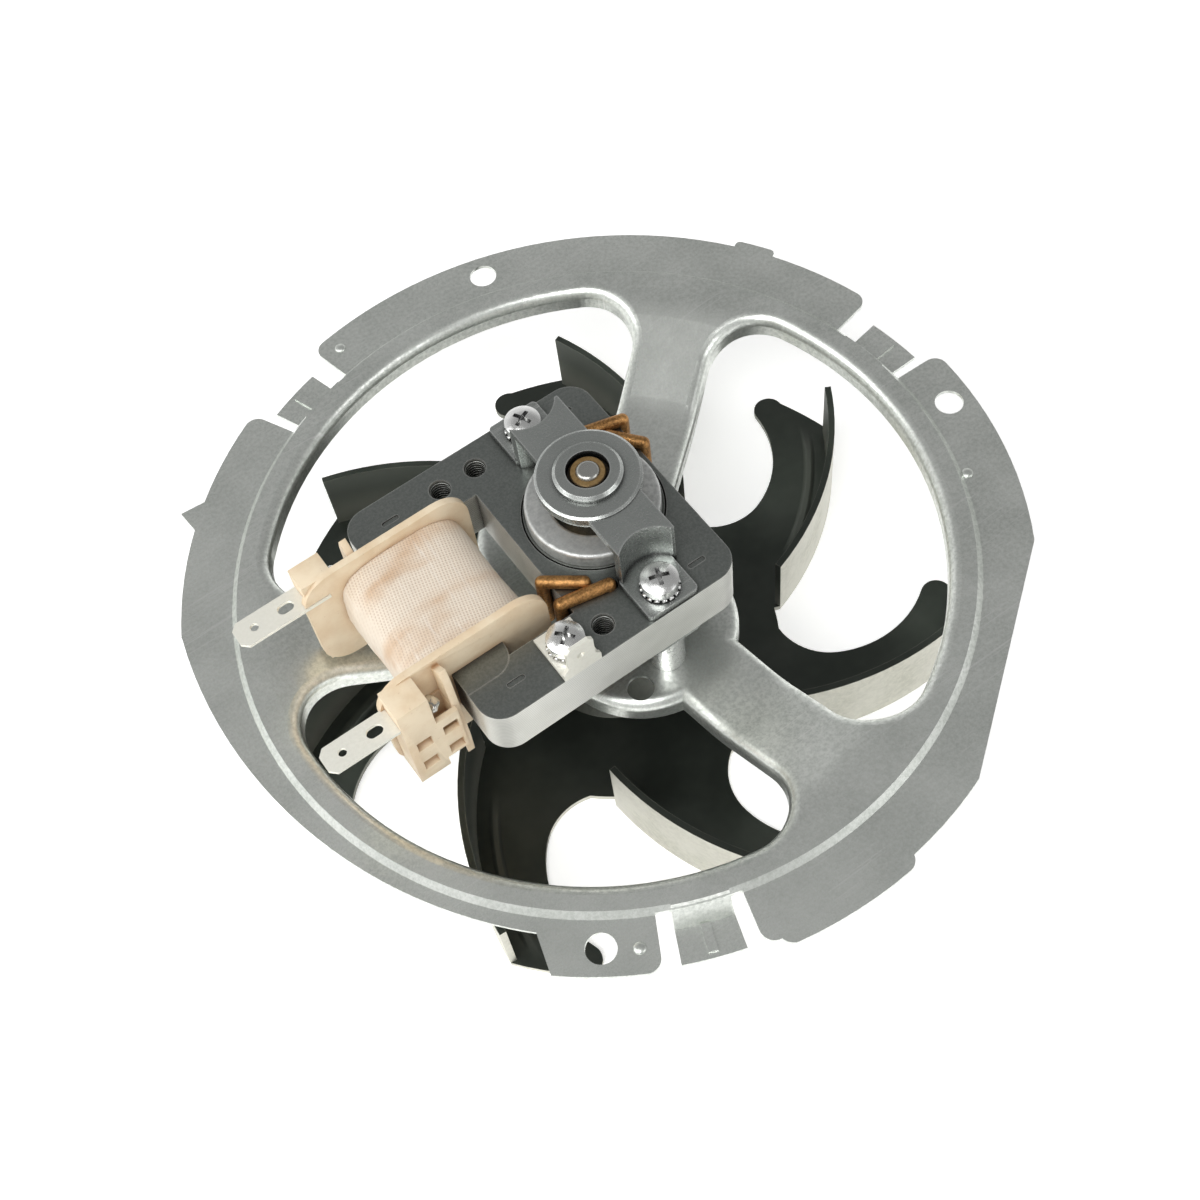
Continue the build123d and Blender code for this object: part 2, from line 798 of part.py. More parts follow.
with BuildPart() as bobbin:
    with BuildSketch(limb_section):
        Rectangle(2 * tube_half_width, 2 * tube_half_height)
    extrude(amount=bobbin_inner_half_length + 0.5, both=True)
    for side in (1, -1):
        flange_plane = Plane(
            origin=(0, side * bobbin_inner_half_length, stack_middle),
            x_dir=(1, 0, 0),
            z_dir=(0, -1, 0),
        )
        with BuildSketch(flange_plane) as flange_face:
            with Locations(((bobbin_rotor_end + bobbin_terminal_end) / 2, 0)):
                Rectangle(bobbin_rotor_end - bobbin_terminal_end, 2 * bobbin_half_height)
            fillet(flange_face.vertices().group_by(Axis.X)[-1], bobbin_corner)
        extrude(amount=-side * flange_thickness)
        block_middle = side * (block_inner + block_outer) / 2
        with BuildSketch(Plane.XY.offset(block_bottom)):
            with Locations(((block_front + terminal_root) / 2, block_middle)):
                Rectangle(terminal_root - block_front, block_outer - block_inner)
        extrude(amount=block_top - block_bottom)
        with BuildSketch(Plane.XY.offset(block_top)):
            cap_middle = side * (block_cap_inner + block_outer) / 2
            with Locations((block_front + block_cap_depth / 2, cap_middle)):
                Rectangle(block_cap_depth, block_outer - block_cap_inner)
        extrude(amount=block_cap_rise)
        with Locations(((block_front + terminal_root) / 2, side * terminal_y, terminal_height)):
            Box(
                terminal_root - block_front + 0.02,
                terminal_width + 0.1,
                terminal_sheet + 0.1,
                mode=Mode.SUBTRACT,
            )
    with BuildSketch(limb_section):
        Rectangle(limb_width + 2 * limb_clearance, stack_height + 2 * limb_clearance)
    extrude(amount=block_outer + 1, both=True, mode=Mode.SUBTRACT)
bobbin.part.label = "bobbin"

coil_half_length = bobbin_inner_half_length - coil_end_clearance
with BuildPart() as coil_winding:
    with BuildSketch(limb_section):
        add(centred_slab(coil_half_width - tape_thickness, coil_half_height - tape_thickness,
                         coil_corner - tape_thickness, coil_crown))
        Rectangle(2 * tube_half_width, 2 * tube_half_height, mode=Mode.SUBTRACT)
    extrude(amount=coil_half_length - 0.3, both=True)
coil_winding.part.label = "coil_winding"

with BuildPart() as coil_tape:
    with BuildSketch(limb_section):
        add(centred_slab(coil_half_width, coil_half_height, coil_corner, coil_crown))
        add(centred_slab(coil_half_width - tape_thickness, coil_half_height - tape_thickness,
                         coil_corner - tape_thickness, coil_crown), mode=Mode.SUBTRACT)
    extrude(amount=coil_half_length, both=True)
coil_tape.part.label = "coil_tape"


def spade_terminal(side):
    """A flat spade terminal, pushed into its block."""
    with BuildPart() as spade:
        with BuildSketch(Plane.XY.offset(terminal_height - terminal_sheet / 2)) as blade:
            middle = (terminal_root + terminal_tip) / 2
            with Locations((middle, side * terminal_y)):
                Rectangle(terminal_root - terminal_tip, terminal_width)
            chamfer(blade.vertices().group_by(Axis.X)[0], terminal_chamfer)
            with Locations((terminal_tip + terminal_dimple_inset, side * terminal_y)):
                Circle(terminal_dimple_radius, mode=Mode.SUBTRACT)
            with Locations((terminal_tip + terminal_window_inset, side * terminal_y)):
                SlotOverall(*terminal_window, mode=Mode.SUBTRACT)
        extrude(amount=terminal_sheet)
    return spade.part


with BuildPart() as terminal_left:
    add(spade_terminal(1))
terminal_left.part.label = "terminal_left"

with BuildPart() as terminal_right:
    add(spade_terminal(-1))
terminal_right.part.label = "terminal_right"

# The rotor: a slotted steel core, and a cast cage of two end rings joined by bars
with BuildPart() as rotor_core:
    with BuildSketch(Plane.XY.offset(stack_bottom)):
        Circle(rotor_radius)
        Circle(shaft_radius, mode=Mode.SUBTRACT)
        with PolarLocations(rotor_bar_circle, rotor_bar_count):
            Circle(rotor_bar_radius, mode=Mode.SUBTRACT)
    extrude(amount=stack_height)
rotor_core.part.label = "rotor_core"

with BuildPart() as rotor_cage:
    with BuildSketch(Plane.XY.offset(stack_bottom)):
        with PolarLocations(rotor_bar_circle, rotor_bar_count):
            Circle(rotor_bar_radius)
    extrude(amount=stack_height)
    for level, direction in ((stack_top, 1), (stack_bottom, -1)):
        with BuildSketch(Plane.XY.offset(level)):
            Circle(cage_outer_radius)
            Circle(cage_inner_radius, mode=Mode.SUBTRACT)
        extrude(amount=direction * cage_height)
    end_edges = rotor_cage.edges().filter_by(GeomType.CIRCLE).group_by(Axis.Z)
    fillet(end_edges[-1] + end_edges[0], cage_edge)
rotor_cage.part.label = "rotor_cage"

bush_foot_rise = bush_centre_rise - bush_foot_drop
with BuildPart() as thrust_washers:
    for level, direction in ((stack_top, 1), (stack_bottom, -1)):
        with BuildSketch(Plane.XY.offset(level)):
            Circle(washer_radius)
            Circle(shaft_radius, mode=Mode.SUBTRACT)
        extrude(amount=direction * (bush_foot_rise - washer_play))
thrust_washers.part.label = "thrust_washers"

with BuildPart() as shaft:
    with BuildSketch(Plane.XY.offset(shaft_bottom)):
        Circle(shaft_radius)
    extrude(amount=shaft_top - shaft_bottom)
    ends = shaft.edges().filter_by(GeomType.CIRCLE)
    fillet(ends.sort_by(Axis.Z)[-1], 0.9)
    chamfer(ends.sort_by(Axis.Z)[0], 0.4)
shaft.part.label = "shaft"


def blade_path(offset):
    """The blade's line in plan, moved towards the arm by the given offset."""
    tip = Vector(*polar(blade_tip_radius, 0))
    root = Vector(*polar(blade_root_radius, blade_sweep))
    chord = root - tip
    half = chord.length / 2
    middle = (tip + root) * 0.5
    across = Vector(-chord.Y, chord.X).normalized()
    to_centre = sqrt(blade_arc_radius ** 2 - half ** 2)
    centre = middle - across * to_centre
    radius = blade_arc_radius - offset
    start = centre + (tip - centre).normalized() * radius
    end = centre + (root - centre).normalized() * radius
    bulge = centre + (middle - centre).normalized() * radius
    return start, bulge, end


def arm_outline():
    """The flat of one arm, from its blade to its scooped trailing edge."""
    start, bulge, end = blade_path(0)
    with BuildSketch() as flat:
        with BuildLine():
            blade_line = ThreePointArc(start, bulge, end)
            Line(blade_line @ 1, (0, 0))
            valley = polar(*arm_valley)
            Line((0, 0), valley)
            high, mid, low = [polar(blade_tip_radius - inset, angle) for inset, angle in arm_edge]
            tip_edge = ThreePointArc(high, mid, low)
            TangentArc(low, valley, tangent=tip_edge % 1)
            corner = polar(blade_tip_radius, arm_tip_angle)
            TangentArc(tip_edge @ 0, corner, tangent=-(tip_edge % 0))
            CenterArc((0, 0), blade_tip_radius, 0, arm_tip_angle)
        make_face()
    return flat.sketch


def blade_outline():
    outer = blade_path(0)
    inner = blade_path(impeller_sheet)
    with BuildSketch() as band:
        with BuildLine():
            outer_line = ThreePointArc(*outer)
            Line(outer_line @ 1, inner[2])
            inner_line = ThreePointArc(*reversed(inner))
            Line(inner_line @ 1, outer_line @ 0)
        make_face()
    return band.sketch


with BuildPart() as impeller:
    with BuildSketch(Plane.XY.offset(impeller_bottom)):
        Circle(impeller_hub_radius)
        with PolarLocations(0, blade_count, start_angle=blade_first_angle):
            add(arm_outline())
    extrude(amount=impeller_sheet)
    with BuildSketch(Plane.XY.offset(impeller_bottom)):
        with PolarLocations(0, blade_count, start_angle=blade_first_angle):
            add(blade_outline())
    extrude(amount=impeller_sheet + blade_height)
    with BuildSketch(Plane.XZ):
        with BuildLine():
            Polyline(
                (0, impeller_top),
                (dish_foot_radius, impeller_top),
                (dish_top_radius, dish_top),
                (0, dish_top),
                close=True,
            )
        make_face()
    revolve(axis=Axis.Z)
    with BuildSketch(Plane.XZ):
        with BuildLine():
            Polyline(
                (0, impeller_bottom - 1),
                (dish_foot_radius - impeller_sheet, impeller_bottom - 1),
                (dish_foot_radius - impeller_sheet, impeller_bottom),
                (dish_top_radius - impeller_sheet, dish_underside),
                (0, dish_underside),
                close=True,
            )
        make_face()
    revolve(axis=Axis.Z, mode=Mode.SUBTRACT)
    with Locations((0, 0, dish_top)):
        Hole(shaft_radius)
impeller.part.label = "impeller"

with BuildPart() as impeller_hub:
    with BuildSketch(Plane.XY.offset(dish_top)):
        Circle(collar_radius)
        Circle(shaft_radius, mode=Mode.SUBTRACT)
    extrude(amount=collar_height)
    top_circles = impeller_hub.edges().filter_by(GeomType.CIRCLE).group_by(Axis.Z)[-1]
    chamfer(top_circles.sort_by(SortBy.RADIUS)[-1], 0.6)
impeller_hub.part.label = "impeller_hub"

with BuildPart() as impeller_washer:
    with BuildSketch(Plane.XY.offset(dish_underside)):
        Circle(impeller_washer_radius)
        Circle(shaft_radius, mode=Mode.SUBTRACT)
    extrude(amount=-impeller_washer_height)
impeller_washer.part.label = "impeller_washer"

with BuildPart() as impeller_nut:
    with BuildSketch(Plane.XY.offset(dish_underside - impeller_washer_height)):
        RegularPolygon(impeller_nut_across_flats / 2, 6, major_radius=False)
        Circle(shaft_radius, mode=Mode.SUBTRACT)
    extrude(amount=-impeller_nut_height)
impeller_nut.part.label = "impeller_nut"

pieces = (
    mounting_plate, stator_core, coil_core, shading_rings, upper_bracket, lower_bracket,
    upper_bush, lower_bush, upper_retainer, lower_retainer, upper_felt, lower_felt,
    bracket_screws, earth_screw, screw_washers, spacers, plate_nuts, earth_tab,
    bobbin, coil_winding, coil_tape, terminal_left, terminal_right,
    rotor_core, rotor_cage, thrust_washers, shaft,
    impeller, impeller_hub, impeller_washer, impeller_nut,
)
for piece in pieces:
    export_step(piece.part, f"parts/{piece.part.label}.step")
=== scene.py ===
from math import cos, pi, radians, sin

import bmesh
import bpy
from mathutils import Matrix, Vector, noise


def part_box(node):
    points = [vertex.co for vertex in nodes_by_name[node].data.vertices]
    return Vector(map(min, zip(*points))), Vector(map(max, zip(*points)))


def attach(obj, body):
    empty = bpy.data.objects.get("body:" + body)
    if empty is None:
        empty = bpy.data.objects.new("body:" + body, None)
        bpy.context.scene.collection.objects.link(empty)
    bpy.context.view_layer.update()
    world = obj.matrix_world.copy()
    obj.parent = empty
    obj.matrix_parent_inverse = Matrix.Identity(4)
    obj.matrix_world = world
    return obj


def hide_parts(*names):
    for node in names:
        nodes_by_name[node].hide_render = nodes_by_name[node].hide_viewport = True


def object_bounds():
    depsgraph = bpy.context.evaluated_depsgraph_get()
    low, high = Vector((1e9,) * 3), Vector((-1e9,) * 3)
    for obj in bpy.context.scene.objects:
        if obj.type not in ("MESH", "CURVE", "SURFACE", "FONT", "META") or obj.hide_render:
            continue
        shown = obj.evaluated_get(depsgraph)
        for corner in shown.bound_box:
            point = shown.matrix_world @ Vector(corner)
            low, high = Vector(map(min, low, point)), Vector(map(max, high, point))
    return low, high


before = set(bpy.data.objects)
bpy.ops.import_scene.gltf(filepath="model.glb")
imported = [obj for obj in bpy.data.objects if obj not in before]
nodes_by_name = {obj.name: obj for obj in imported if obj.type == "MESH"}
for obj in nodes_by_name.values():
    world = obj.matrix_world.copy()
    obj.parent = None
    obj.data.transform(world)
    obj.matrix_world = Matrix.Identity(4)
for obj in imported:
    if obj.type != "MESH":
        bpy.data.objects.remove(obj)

# Oven fan motor: a shaded-pole motor on a pressed mounting plate, with its impeller below.
# Units are metres. The origin is on the shaft axis, in the plane of the flange's underside.

cad_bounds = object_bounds()
scene = bpy.context.scene
scene.view_settings.view_transform = "Standard"
mm = 0.001


# Camera, at the photograph's viewing angle
camera_place = Vector((-0.0911, -0.1747, 0.3223))
camera_heading = radians(62.99)
camera_dip = radians(59.75)
camera_roll = radians(-9.52)
camera_lens = 52.1

# Sky: its tones at the horizon and the zenith, where they start, and its brighter side
horizon_tone = 0.80
zenith_tone = 0.27
horizon_end = 0.05
zenith_start = 0.75
sky_tilt = 0.22
sky_tilt_heading = radians(135)

# Floor: it fades to plain white between these distances from the motor
floor_level = cad_bounds[0][2]
floor_reach = 3.0
floor_colour = (0.92, 0.92, 0.91, 1)
floor_lift = 0.42
fade_start = 0.2
fade_end = 0.6

# Lamps, with headings and heights in degrees and power in watts
softboxes = {
    "key_light": {"heading": -150, "height": 58, "distance": 1.4, "size": 0.9, "power": 11.5},
    "side_light": {"heading": 160, "height": 35, "distance": 1.4, "size": 0.8, "power": 5},
    "front_light": {"heading": -60, "height": 30, "distance": 1.5, "size": 0.8, "power": 3.8},
}


def add_camera():
    data = bpy.data.cameras.new("camera")
    data.lens = camera_lens
    data.sensor_width = 36
    camera = bpy.data.objects.new("camera", data)
    scene.collection.objects.link(camera)
    level = cos(camera_dip)
    forward = Vector((level * cos(camera_heading), level * sin(camera_heading), -sin(camera_dip)))
    flat_right = forward.cross(Vector((0, 0, 1))).normalized()
    flat_up = flat_right.cross(forward)
    right = flat_right * cos(camera_roll) + flat_up * sin(camera_roll)
    up = right.cross(forward)
    turn = Matrix((right, up, -forward)).transposed().to_4x4()
    camera.matrix_world = Matrix.Translation(camera_place) @ turn
    scene.camera = camera


def add_softbox(name, heading, height, distance, size, power):
    """A square area light that looks at the motor."""
    data = bpy.data.lights.new(name, "AREA")
    data.shape = "SQUARE"
    data.size = size
    data.energy = power
    lamp = bpy.data.objects.new(name, data)
    scene.collection.objects.link(lamp)
    level = cos(radians(height))
    place = distance * Vector(
        (level * cos(radians(heading)), level * sin(radians(heading)), sin(radians(height)))
    )
    lamp.location = place
    lamp.rotation_euler = place.to_track_quat("Z", "Y").to_euler()


def link(tree, source, target):
    tree.links.new(source, target)


def add_world():
    """A pale horizon and a darker zenith, brighter on one side; the camera sees plain white."""
    world = bpy.data.worlds.new("studio")
    scene.world = world
    world.use_nodes = True
    tree = world.node_tree
    tree.nodes.clear()
    output = tree.nodes.new("ShaderNodeOutputWorld")
    direction = tree.nodes.new("ShaderNodeTexCoord")
    split = tree.nodes.new("ShaderNodeSeparateXYZ")
    ramp = tree.nodes.new("ShaderNodeValToRGB")
    ramp.color_ramp.interpolation = "EASE"
    stops = ((horizon_end, horizon_tone), (zenith_start, zenith_tone))
    for stop, (position, tone) in zip(ramp.color_ramp.elements, stops):
        stop.position = position
        stop.color = (tone, tone, tone, 1)
    surround = tree.nodes.new("ShaderNodeBackground")
    white = tree.nodes.new("ShaderNodeBackground")
    paths = tree.nodes.new("ShaderNodeLightPath")
    mix = tree.nodes.new("ShaderNodeMixShader")
    link(tree, direction.outputs["Generated"], split.inputs[0])
    tilt = tree.nodes.new("ShaderNodeVectorMath")
    tilt.operation = "DOT_PRODUCT"
    tilt_x = -sky_tilt * cos(sky_tilt_heading)
    tilt_y = -sky_tilt * sin(sky_tilt_heading)
    tilt.inputs[1].default_value = (tilt_x, tilt_y, 0)
    level = tree.nodes.new("ShaderNodeMath")
    link(tree, direction.outputs["Generated"], tilt.inputs[0])
    link(tree, tilt.outputs["Value"], level.inputs[0])
    link(tree, split.outputs["Z"], level.inputs[1])
    link(tree, level.outputs[0], ramp.inputs[0])
    link(tree, ramp.outputs["Color"], surround.inputs["Color"])
    link(tree, paths.outputs["Is Camera Ray"], mix.inputs[0])
    link(tree, surround.outputs[0], mix.inputs[1])
    link(tree, white.outputs[0], mix.inputs[2])
    white.inputs["Color"].default_value = (1, 1, 1, 1)
    link(tree, mix.outputs[0], output.inputs["Surface"])


def add_floor():
    """The pale floor: matt near the motor, white far from it, and brighter as a background."""
    mesh = bpy.data.meshes.new("floor")
    reach = floor_reach
    corners = [(-reach, -reach), (reach, -reach), (reach, reach), (-reach, reach)]
    mesh.from_pydata([(x, y, floor_level) for x, y in corners], [], [(0, 1, 2, 3)])
    floor = bpy.data.objects.new("floor", mesh)
    scene.collection.objects.link(floor)
    material = bpy.data.materials.new("pale_floor")
    material.use_nodes = True
    tree = material.node_tree
    tree.nodes.clear()
    output = tree.nodes.new("ShaderNodeOutputMaterial")
    matt = tree.nodes.new("ShaderNodeBsdfDiffuse")
    matt.inputs["Color"].default_value = floor_colour
    glow = tree.nodes.new("ShaderNodeEmission")
    glow.inputs["Color"].default_value = (1, 1, 1, 1)
    paths = tree.nodes.new("ShaderNodeLightPath")
    seen = tree.nodes.new("ShaderNodeMath")
    seen.operation = "MAXIMUM"
    strength = tree.nodes.new("ShaderNodeMath")
    strength.operation = "MULTIPLY"
    strength.inputs[1].default_value = floor_lift
    total = tree.nodes.new("ShaderNodeAddShader")
    place = tree.nodes.new("ShaderNodeTexCoord")
    distance = tree.nodes.new("ShaderNodeVectorMath")
    distance.operation = "LENGTH"
    fade = tree.nodes.new("ShaderNodeMapRange")
    fade.inputs["From Min"].default_value = fade_start
    fade.inputs["From Max"].default_value = fade_end
    far = tree.nodes.new("ShaderNodeEmission")
    far.inputs["Color"].default_value = (1, 1, 1, 1)
    blend = tree.nodes.new("ShaderNodeMixShader")
    link(tree, paths.outputs["Is Camera Ray"], seen.inputs[0])
    link(tree, paths.outputs["Is Glossy Ray"], seen.inputs[1])
    link(tree, seen.outputs[0], strength.inputs[0])
    link(tree, strength.outputs[0], glow.inputs["Strength"])
    link(tree, matt.outputs[0], total.inputs[0])
    link(tree, glow.outputs[0], total.inputs[1])
    link(tree, place.outputs["Object"], distance.inputs[0])
    link(tree, distance.outputs["Value"], fade.inputs["Value"])
    link(tree, fade.outputs["Result"], blend.inputs[0])
    link(tree, total.outputs[0], blend.inputs[1])
    link(tree, far.outputs[0], blend.inputs[2])
    link(tree, blend.outputs[0], output.inputs["Surface"])
    mesh.materials.append(material)


# Shared effects, each a node group with named inputs and outputs


def new_group(name, inputs, outputs):
    """An empty shader group; inputs and outputs map each name to its socket type and default."""
    group = bpy.data.node_groups.new(name, "ShaderNodeTree")
    for label, (kind, value) in inputs.items():
        socket = group.interface.new_socket(name=label, in_out="INPUT", socket_type=kind)
        if value is not None:
            socket.default_value = value
    for label, kind in outputs.items():
        group.interface.new_socket(name=label, in_out="OUTPUT", socket_type=kind)
    start = group.nodes.new("NodeGroupInput")
    end = group.nodes.new("NodeGroupOutput")
    return group, start, end


def feed(tree, socket, value):
    """Sets a socket's number, or links another socket to it."""
    if isinstance(value, (int, float)):
        socket.default_value = value
    else:
        link(tree, value, socket)


def math(tree, operation, *operands):
    node = tree.nodes.new("ShaderNodeMath")
    node.operation = operation
    for index, operand in enumerate(operands):
        feed(tree, node.inputs[index], operand)
    return node.outputs[0]


def step(tree, value, low, high, new_low=0.0, new_high=1.0):
    """A smooth step from new_low to new_high as the value goes from low to high."""
    node = tree.nodes.new("ShaderNodeMapRange")
    node.interpolation_type = "SMOOTHSTEP"
    feed(tree, node.inputs["Value"], value)
    feed(tree, node.inputs["From Min"], low)
    feed(tree, node.inputs["From Max"], high)
    feed(tree, node.inputs["To Min"], new_low)
    feed(tree, node.inputs["To Max"], new_high)
    return node.outputs["Result"]


def noisy(tree, vector, scale, detail=3.0, roughness=0.55):
    node = tree.nodes.new("ShaderNodeTexNoise")
    link(tree, vector, node.inputs["Vector"])
    feed(tree, node.inputs["Scale"], scale)
    node.inputs["Detail"].default_value = detail
    node.inputs["Roughness"].default_value = roughness
    return node.outputs["Fac"]


def mapped(tree, vector, scale=(1, 1, 1), turn=(0, 0, 0)):
    node = tree.nodes.new("ShaderNodeMapping")
    link(tree, vector, node.inputs["Vector"])
    node.inputs["Scale"].default_value = scale
    node.inputs["Rotation"].default_value = turn
    return node.outputs["Vector"]


def split(tree, vector):
    node = tree.nodes.new("ShaderNodeSeparateXYZ")
    link(tree, vector, node.inputs[0])
    return node.outputs


def hypotenuse(tree, first, second):
    squares = [math(tree, "POWER", side, 2.0) for side in (first, second)]
    return math(tree, "SQRT", math(tree, "ADD", *squares))


def make_edge_wear_and_highlight():
    """A mask that is 1 along sharp outer edges, a little uneven: edge wear with a painted
    highlight.
    """
    group, start, end = new_group(
        "edge_wear_and_highlight",
        {"Vector": ("NodeSocketVector", None), "Width": ("NodeSocketFloat", 0.3 * mm)},
        {"Mask": "NodeSocketFloat"},
    )
    bevel = group.nodes.new("ShaderNodeBevel")
    bevel.samples = 3
    link(group, start.outputs["Width"], bevel.inputs["Radius"])
    geometry = group.nodes.new("ShaderNodeNewGeometry")
    dot = group.nodes.new("ShaderNodeVectorMath")
    dot.operation = "DOT_PRODUCT"
    link(group, bevel.outputs["Normal"], dot.inputs[0])
    link(group, geometry.outputs["Normal"], dot.inputs[1])
    edge = step(group, dot.outputs["Value"], 0.99, 0.85)
    uneven = step(group, noisy(group, start.outputs["Vector"], 260.0), 0.3, 0.65, 0.45, 1.0)
    link(group, math(group, "MULTIPLY", edge, uneven), end.inputs["Mask"])
    return group


def make_metal_grain():
    """Fine grain and soft clouds of a coated sheet, from 0 to 1."""
    group, start, end = new_group(
        "metal_grain",
        {"Vector": ("NodeSocketVector", None), "Scale": ("NodeSocketFloat", 1500.0)},
        {"Grain": "NodeSocketFloat", "Cloud": "NodeSocketFloat"},
    )
    fine = noisy(group, start.outputs["Vector"], start.outputs["Scale"], 3.0, 0.7)
    cloud = noisy(group, start.outputs["Vector"], 60.0, 3.0, 0.6)
    link(group, step(group, fine, 0.3, 0.7), end.inputs["Grain"])
    link(group, step(group, cloud, 0.25, 0.75), end.inputs["Cloud"])
    return group


def make_scratches():
    """Thin straight scratches in a few patches."""
    group, start, end = new_group(
        "scratches",
        {"Vector": ("NodeSocketVector", None), "Amount": ("NodeSocketFloat", 0.5)},
        {"Mask": "NodeSocketFloat"},
    )
    heading = radians(35)
    turned = mapped(group, start.outputs["Vector"], (30, 2600, 30), (0, 0, heading))
    thin = step(group, noisy(group, turned, 1.0, 1.0), 0.6, 0.72)
    where = step(group, noisy(group, start.outputs["Vector"], 38.0, 2.0), 0.45, 0.62)
    mask = math(group, "MULTIPLY", thin, where)
    link(group, math(group, "MULTIPLY", mask, start.outputs["Amount"]), end.inputs["Mask"])
    return group


def make_painted_shade():
    """A mask for painted shade: 1 deep in holes and corners, where little light comes in."""
    group, start, end = new_group(
        "painted_shade",
        {"Reach": ("NodeSocketFloat", 3 * mm)},
        {"Mask": "NodeSocketFloat"},
    )
    occlusion = group.nodes.new("ShaderNodeAmbientOcclusion")
    occlusion.samples = 6
    link(group, start.outputs["Reach"], occlusion.inputs["Distance"])
    link(group, step(group, occlusion.outputs["AO"], 0.85, 0.35), end.inputs["Mask"])
    return group


edge_wear_and_highlight = make_edge_wear_and_highlight()
metal_grain = make_metal_grain()
scratches = make_scratches()
painted_shade = make_painted_shade()


def use_group(tree, group, vector=None, **values):
    node = tree.nodes.new("ShaderNodeGroup")
    node.node_tree = group
    if vector is not None:
        link(tree, vector, node.inputs["Vector"])
    for label, number in values.items():
        node.inputs[label].default_value = number
    return node


def mix_colours(tree, mask, first, second):
    """Goes from the first colour to the second with the mask; a colour is a tuple or a socket."""
    node = tree.nodes.new("ShaderNodeMix")
    node.data_type = "RGBA"
    link(tree, mask, node.inputs["Factor"])
    for socket, colour in ((node.inputs[6], first), (node.inputs[7], second)):
        if isinstance(colour, tuple):
            socket.default_value = (*colour, 1)
        else:
            link(tree, colour, socket)
    return node.outputs[2]


def start_material(name, metallic, roughness):
    """A new material with its Principled shader and its object coordinates."""
    material = bpy.data.materials.new(name)
    material.use_nodes = True
    tree = material.node_tree
    shader = tree.nodes["Principled BSDF"]
    shader.inputs["Metallic"].default_value = metallic
    shader.inputs["Roughness"].default_value = roughness
    place = tree.nodes.new("ShaderNodeTexCoord").outputs["Object"]
    return material, tree, shader, place


def add_bump(tree, shader, height, strength, distance):
    bump = tree.nodes.new("ShaderNodeBump")
    bump.inputs["Strength"].default_value = strength
    bump.inputs["Distance"].default_value = distance
    link(tree, height, bump.inputs["Height"])
    link(tree, bump.outputs["Normal"], shader.inputs["Normal"])


def own_normal(tree):
    """The face's normal in its object's own frame."""
    geometry = tree.nodes.new("ShaderNodeNewGeometry")
    turn = tree.nodes.new("ShaderNodeVectorTransform")
    turn.vector_type = "NORMAL"
    turn.convert_from = "WORLD"
    turn.convert_to = "OBJECT"
    link(tree, geometry.outputs["True Normal"], turn.inputs[0])
    return turn.outputs[0]


def facing_up(tree):
    """How far a face looks up, from -1 to 1, by its own normal."""
    return split(tree, own_normal(tree))["Z"]


def sheet_metal(name, dark, light, roughness, edge=None, grain_scale=1500.0, bump=0.2,
                scratch=0.0, metallic=0.9, wear_and_highlight_width=0.3 * mm, hollow_shade=None, hollow_shade_tone=0.03):
    """Metal with grain and clouds, and where asked scratches, pale worn edges with a painted
    highlight, and painted shade in hollows.
    """
    material, tree, shader, place = start_material(name, metallic, roughness)
    grain = use_group(tree, metal_grain, place, Scale=grain_scale)
    cloud = math(tree, "MULTIPLY", grain.outputs["Cloud"], 0.35)
    blend = math(tree, "MULTIPLY_ADD", grain.outputs["Grain"], 0.65, cloud)
    colour = mix_colours(tree, blend, dark, light)
    if scratch:
        lines = use_group(tree, scratches, place, Amount=scratch)
        colour = mix_colours(tree, lines.outputs["Mask"], colour, (0.95, 0.95, 0.93))
    # Pale edges: edge wear with a painted highlight.
    if edge:
        wear_and_highlight = use_group(tree, edge_wear_and_highlight, place, Width=wear_and_highlight_width)
        colour = mix_colours(tree, wear_and_highlight.outputs["Mask"], colour, edge)
    # Painted shade: darker deep in holes and corners.
    if hollow_shade:
        deep = use_group(tree, painted_shade, Reach=hollow_shade)
        colour = mix_colours(tree, deep.outputs["Mask"], colour, (hollow_shade_tone,) * 3)
    link(tree, colour, shader.inputs["Base Color"])
    rough = step(tree, grain.outputs["Grain"], 0.0, 1.0, roughness + 0.05, roughness - 0.05)
    link(tree, rough, shader.inputs["Roughness"])
    add_bump(tree, shader, grain.outputs["Grain"], bump, 0.02 * mm)
    return material


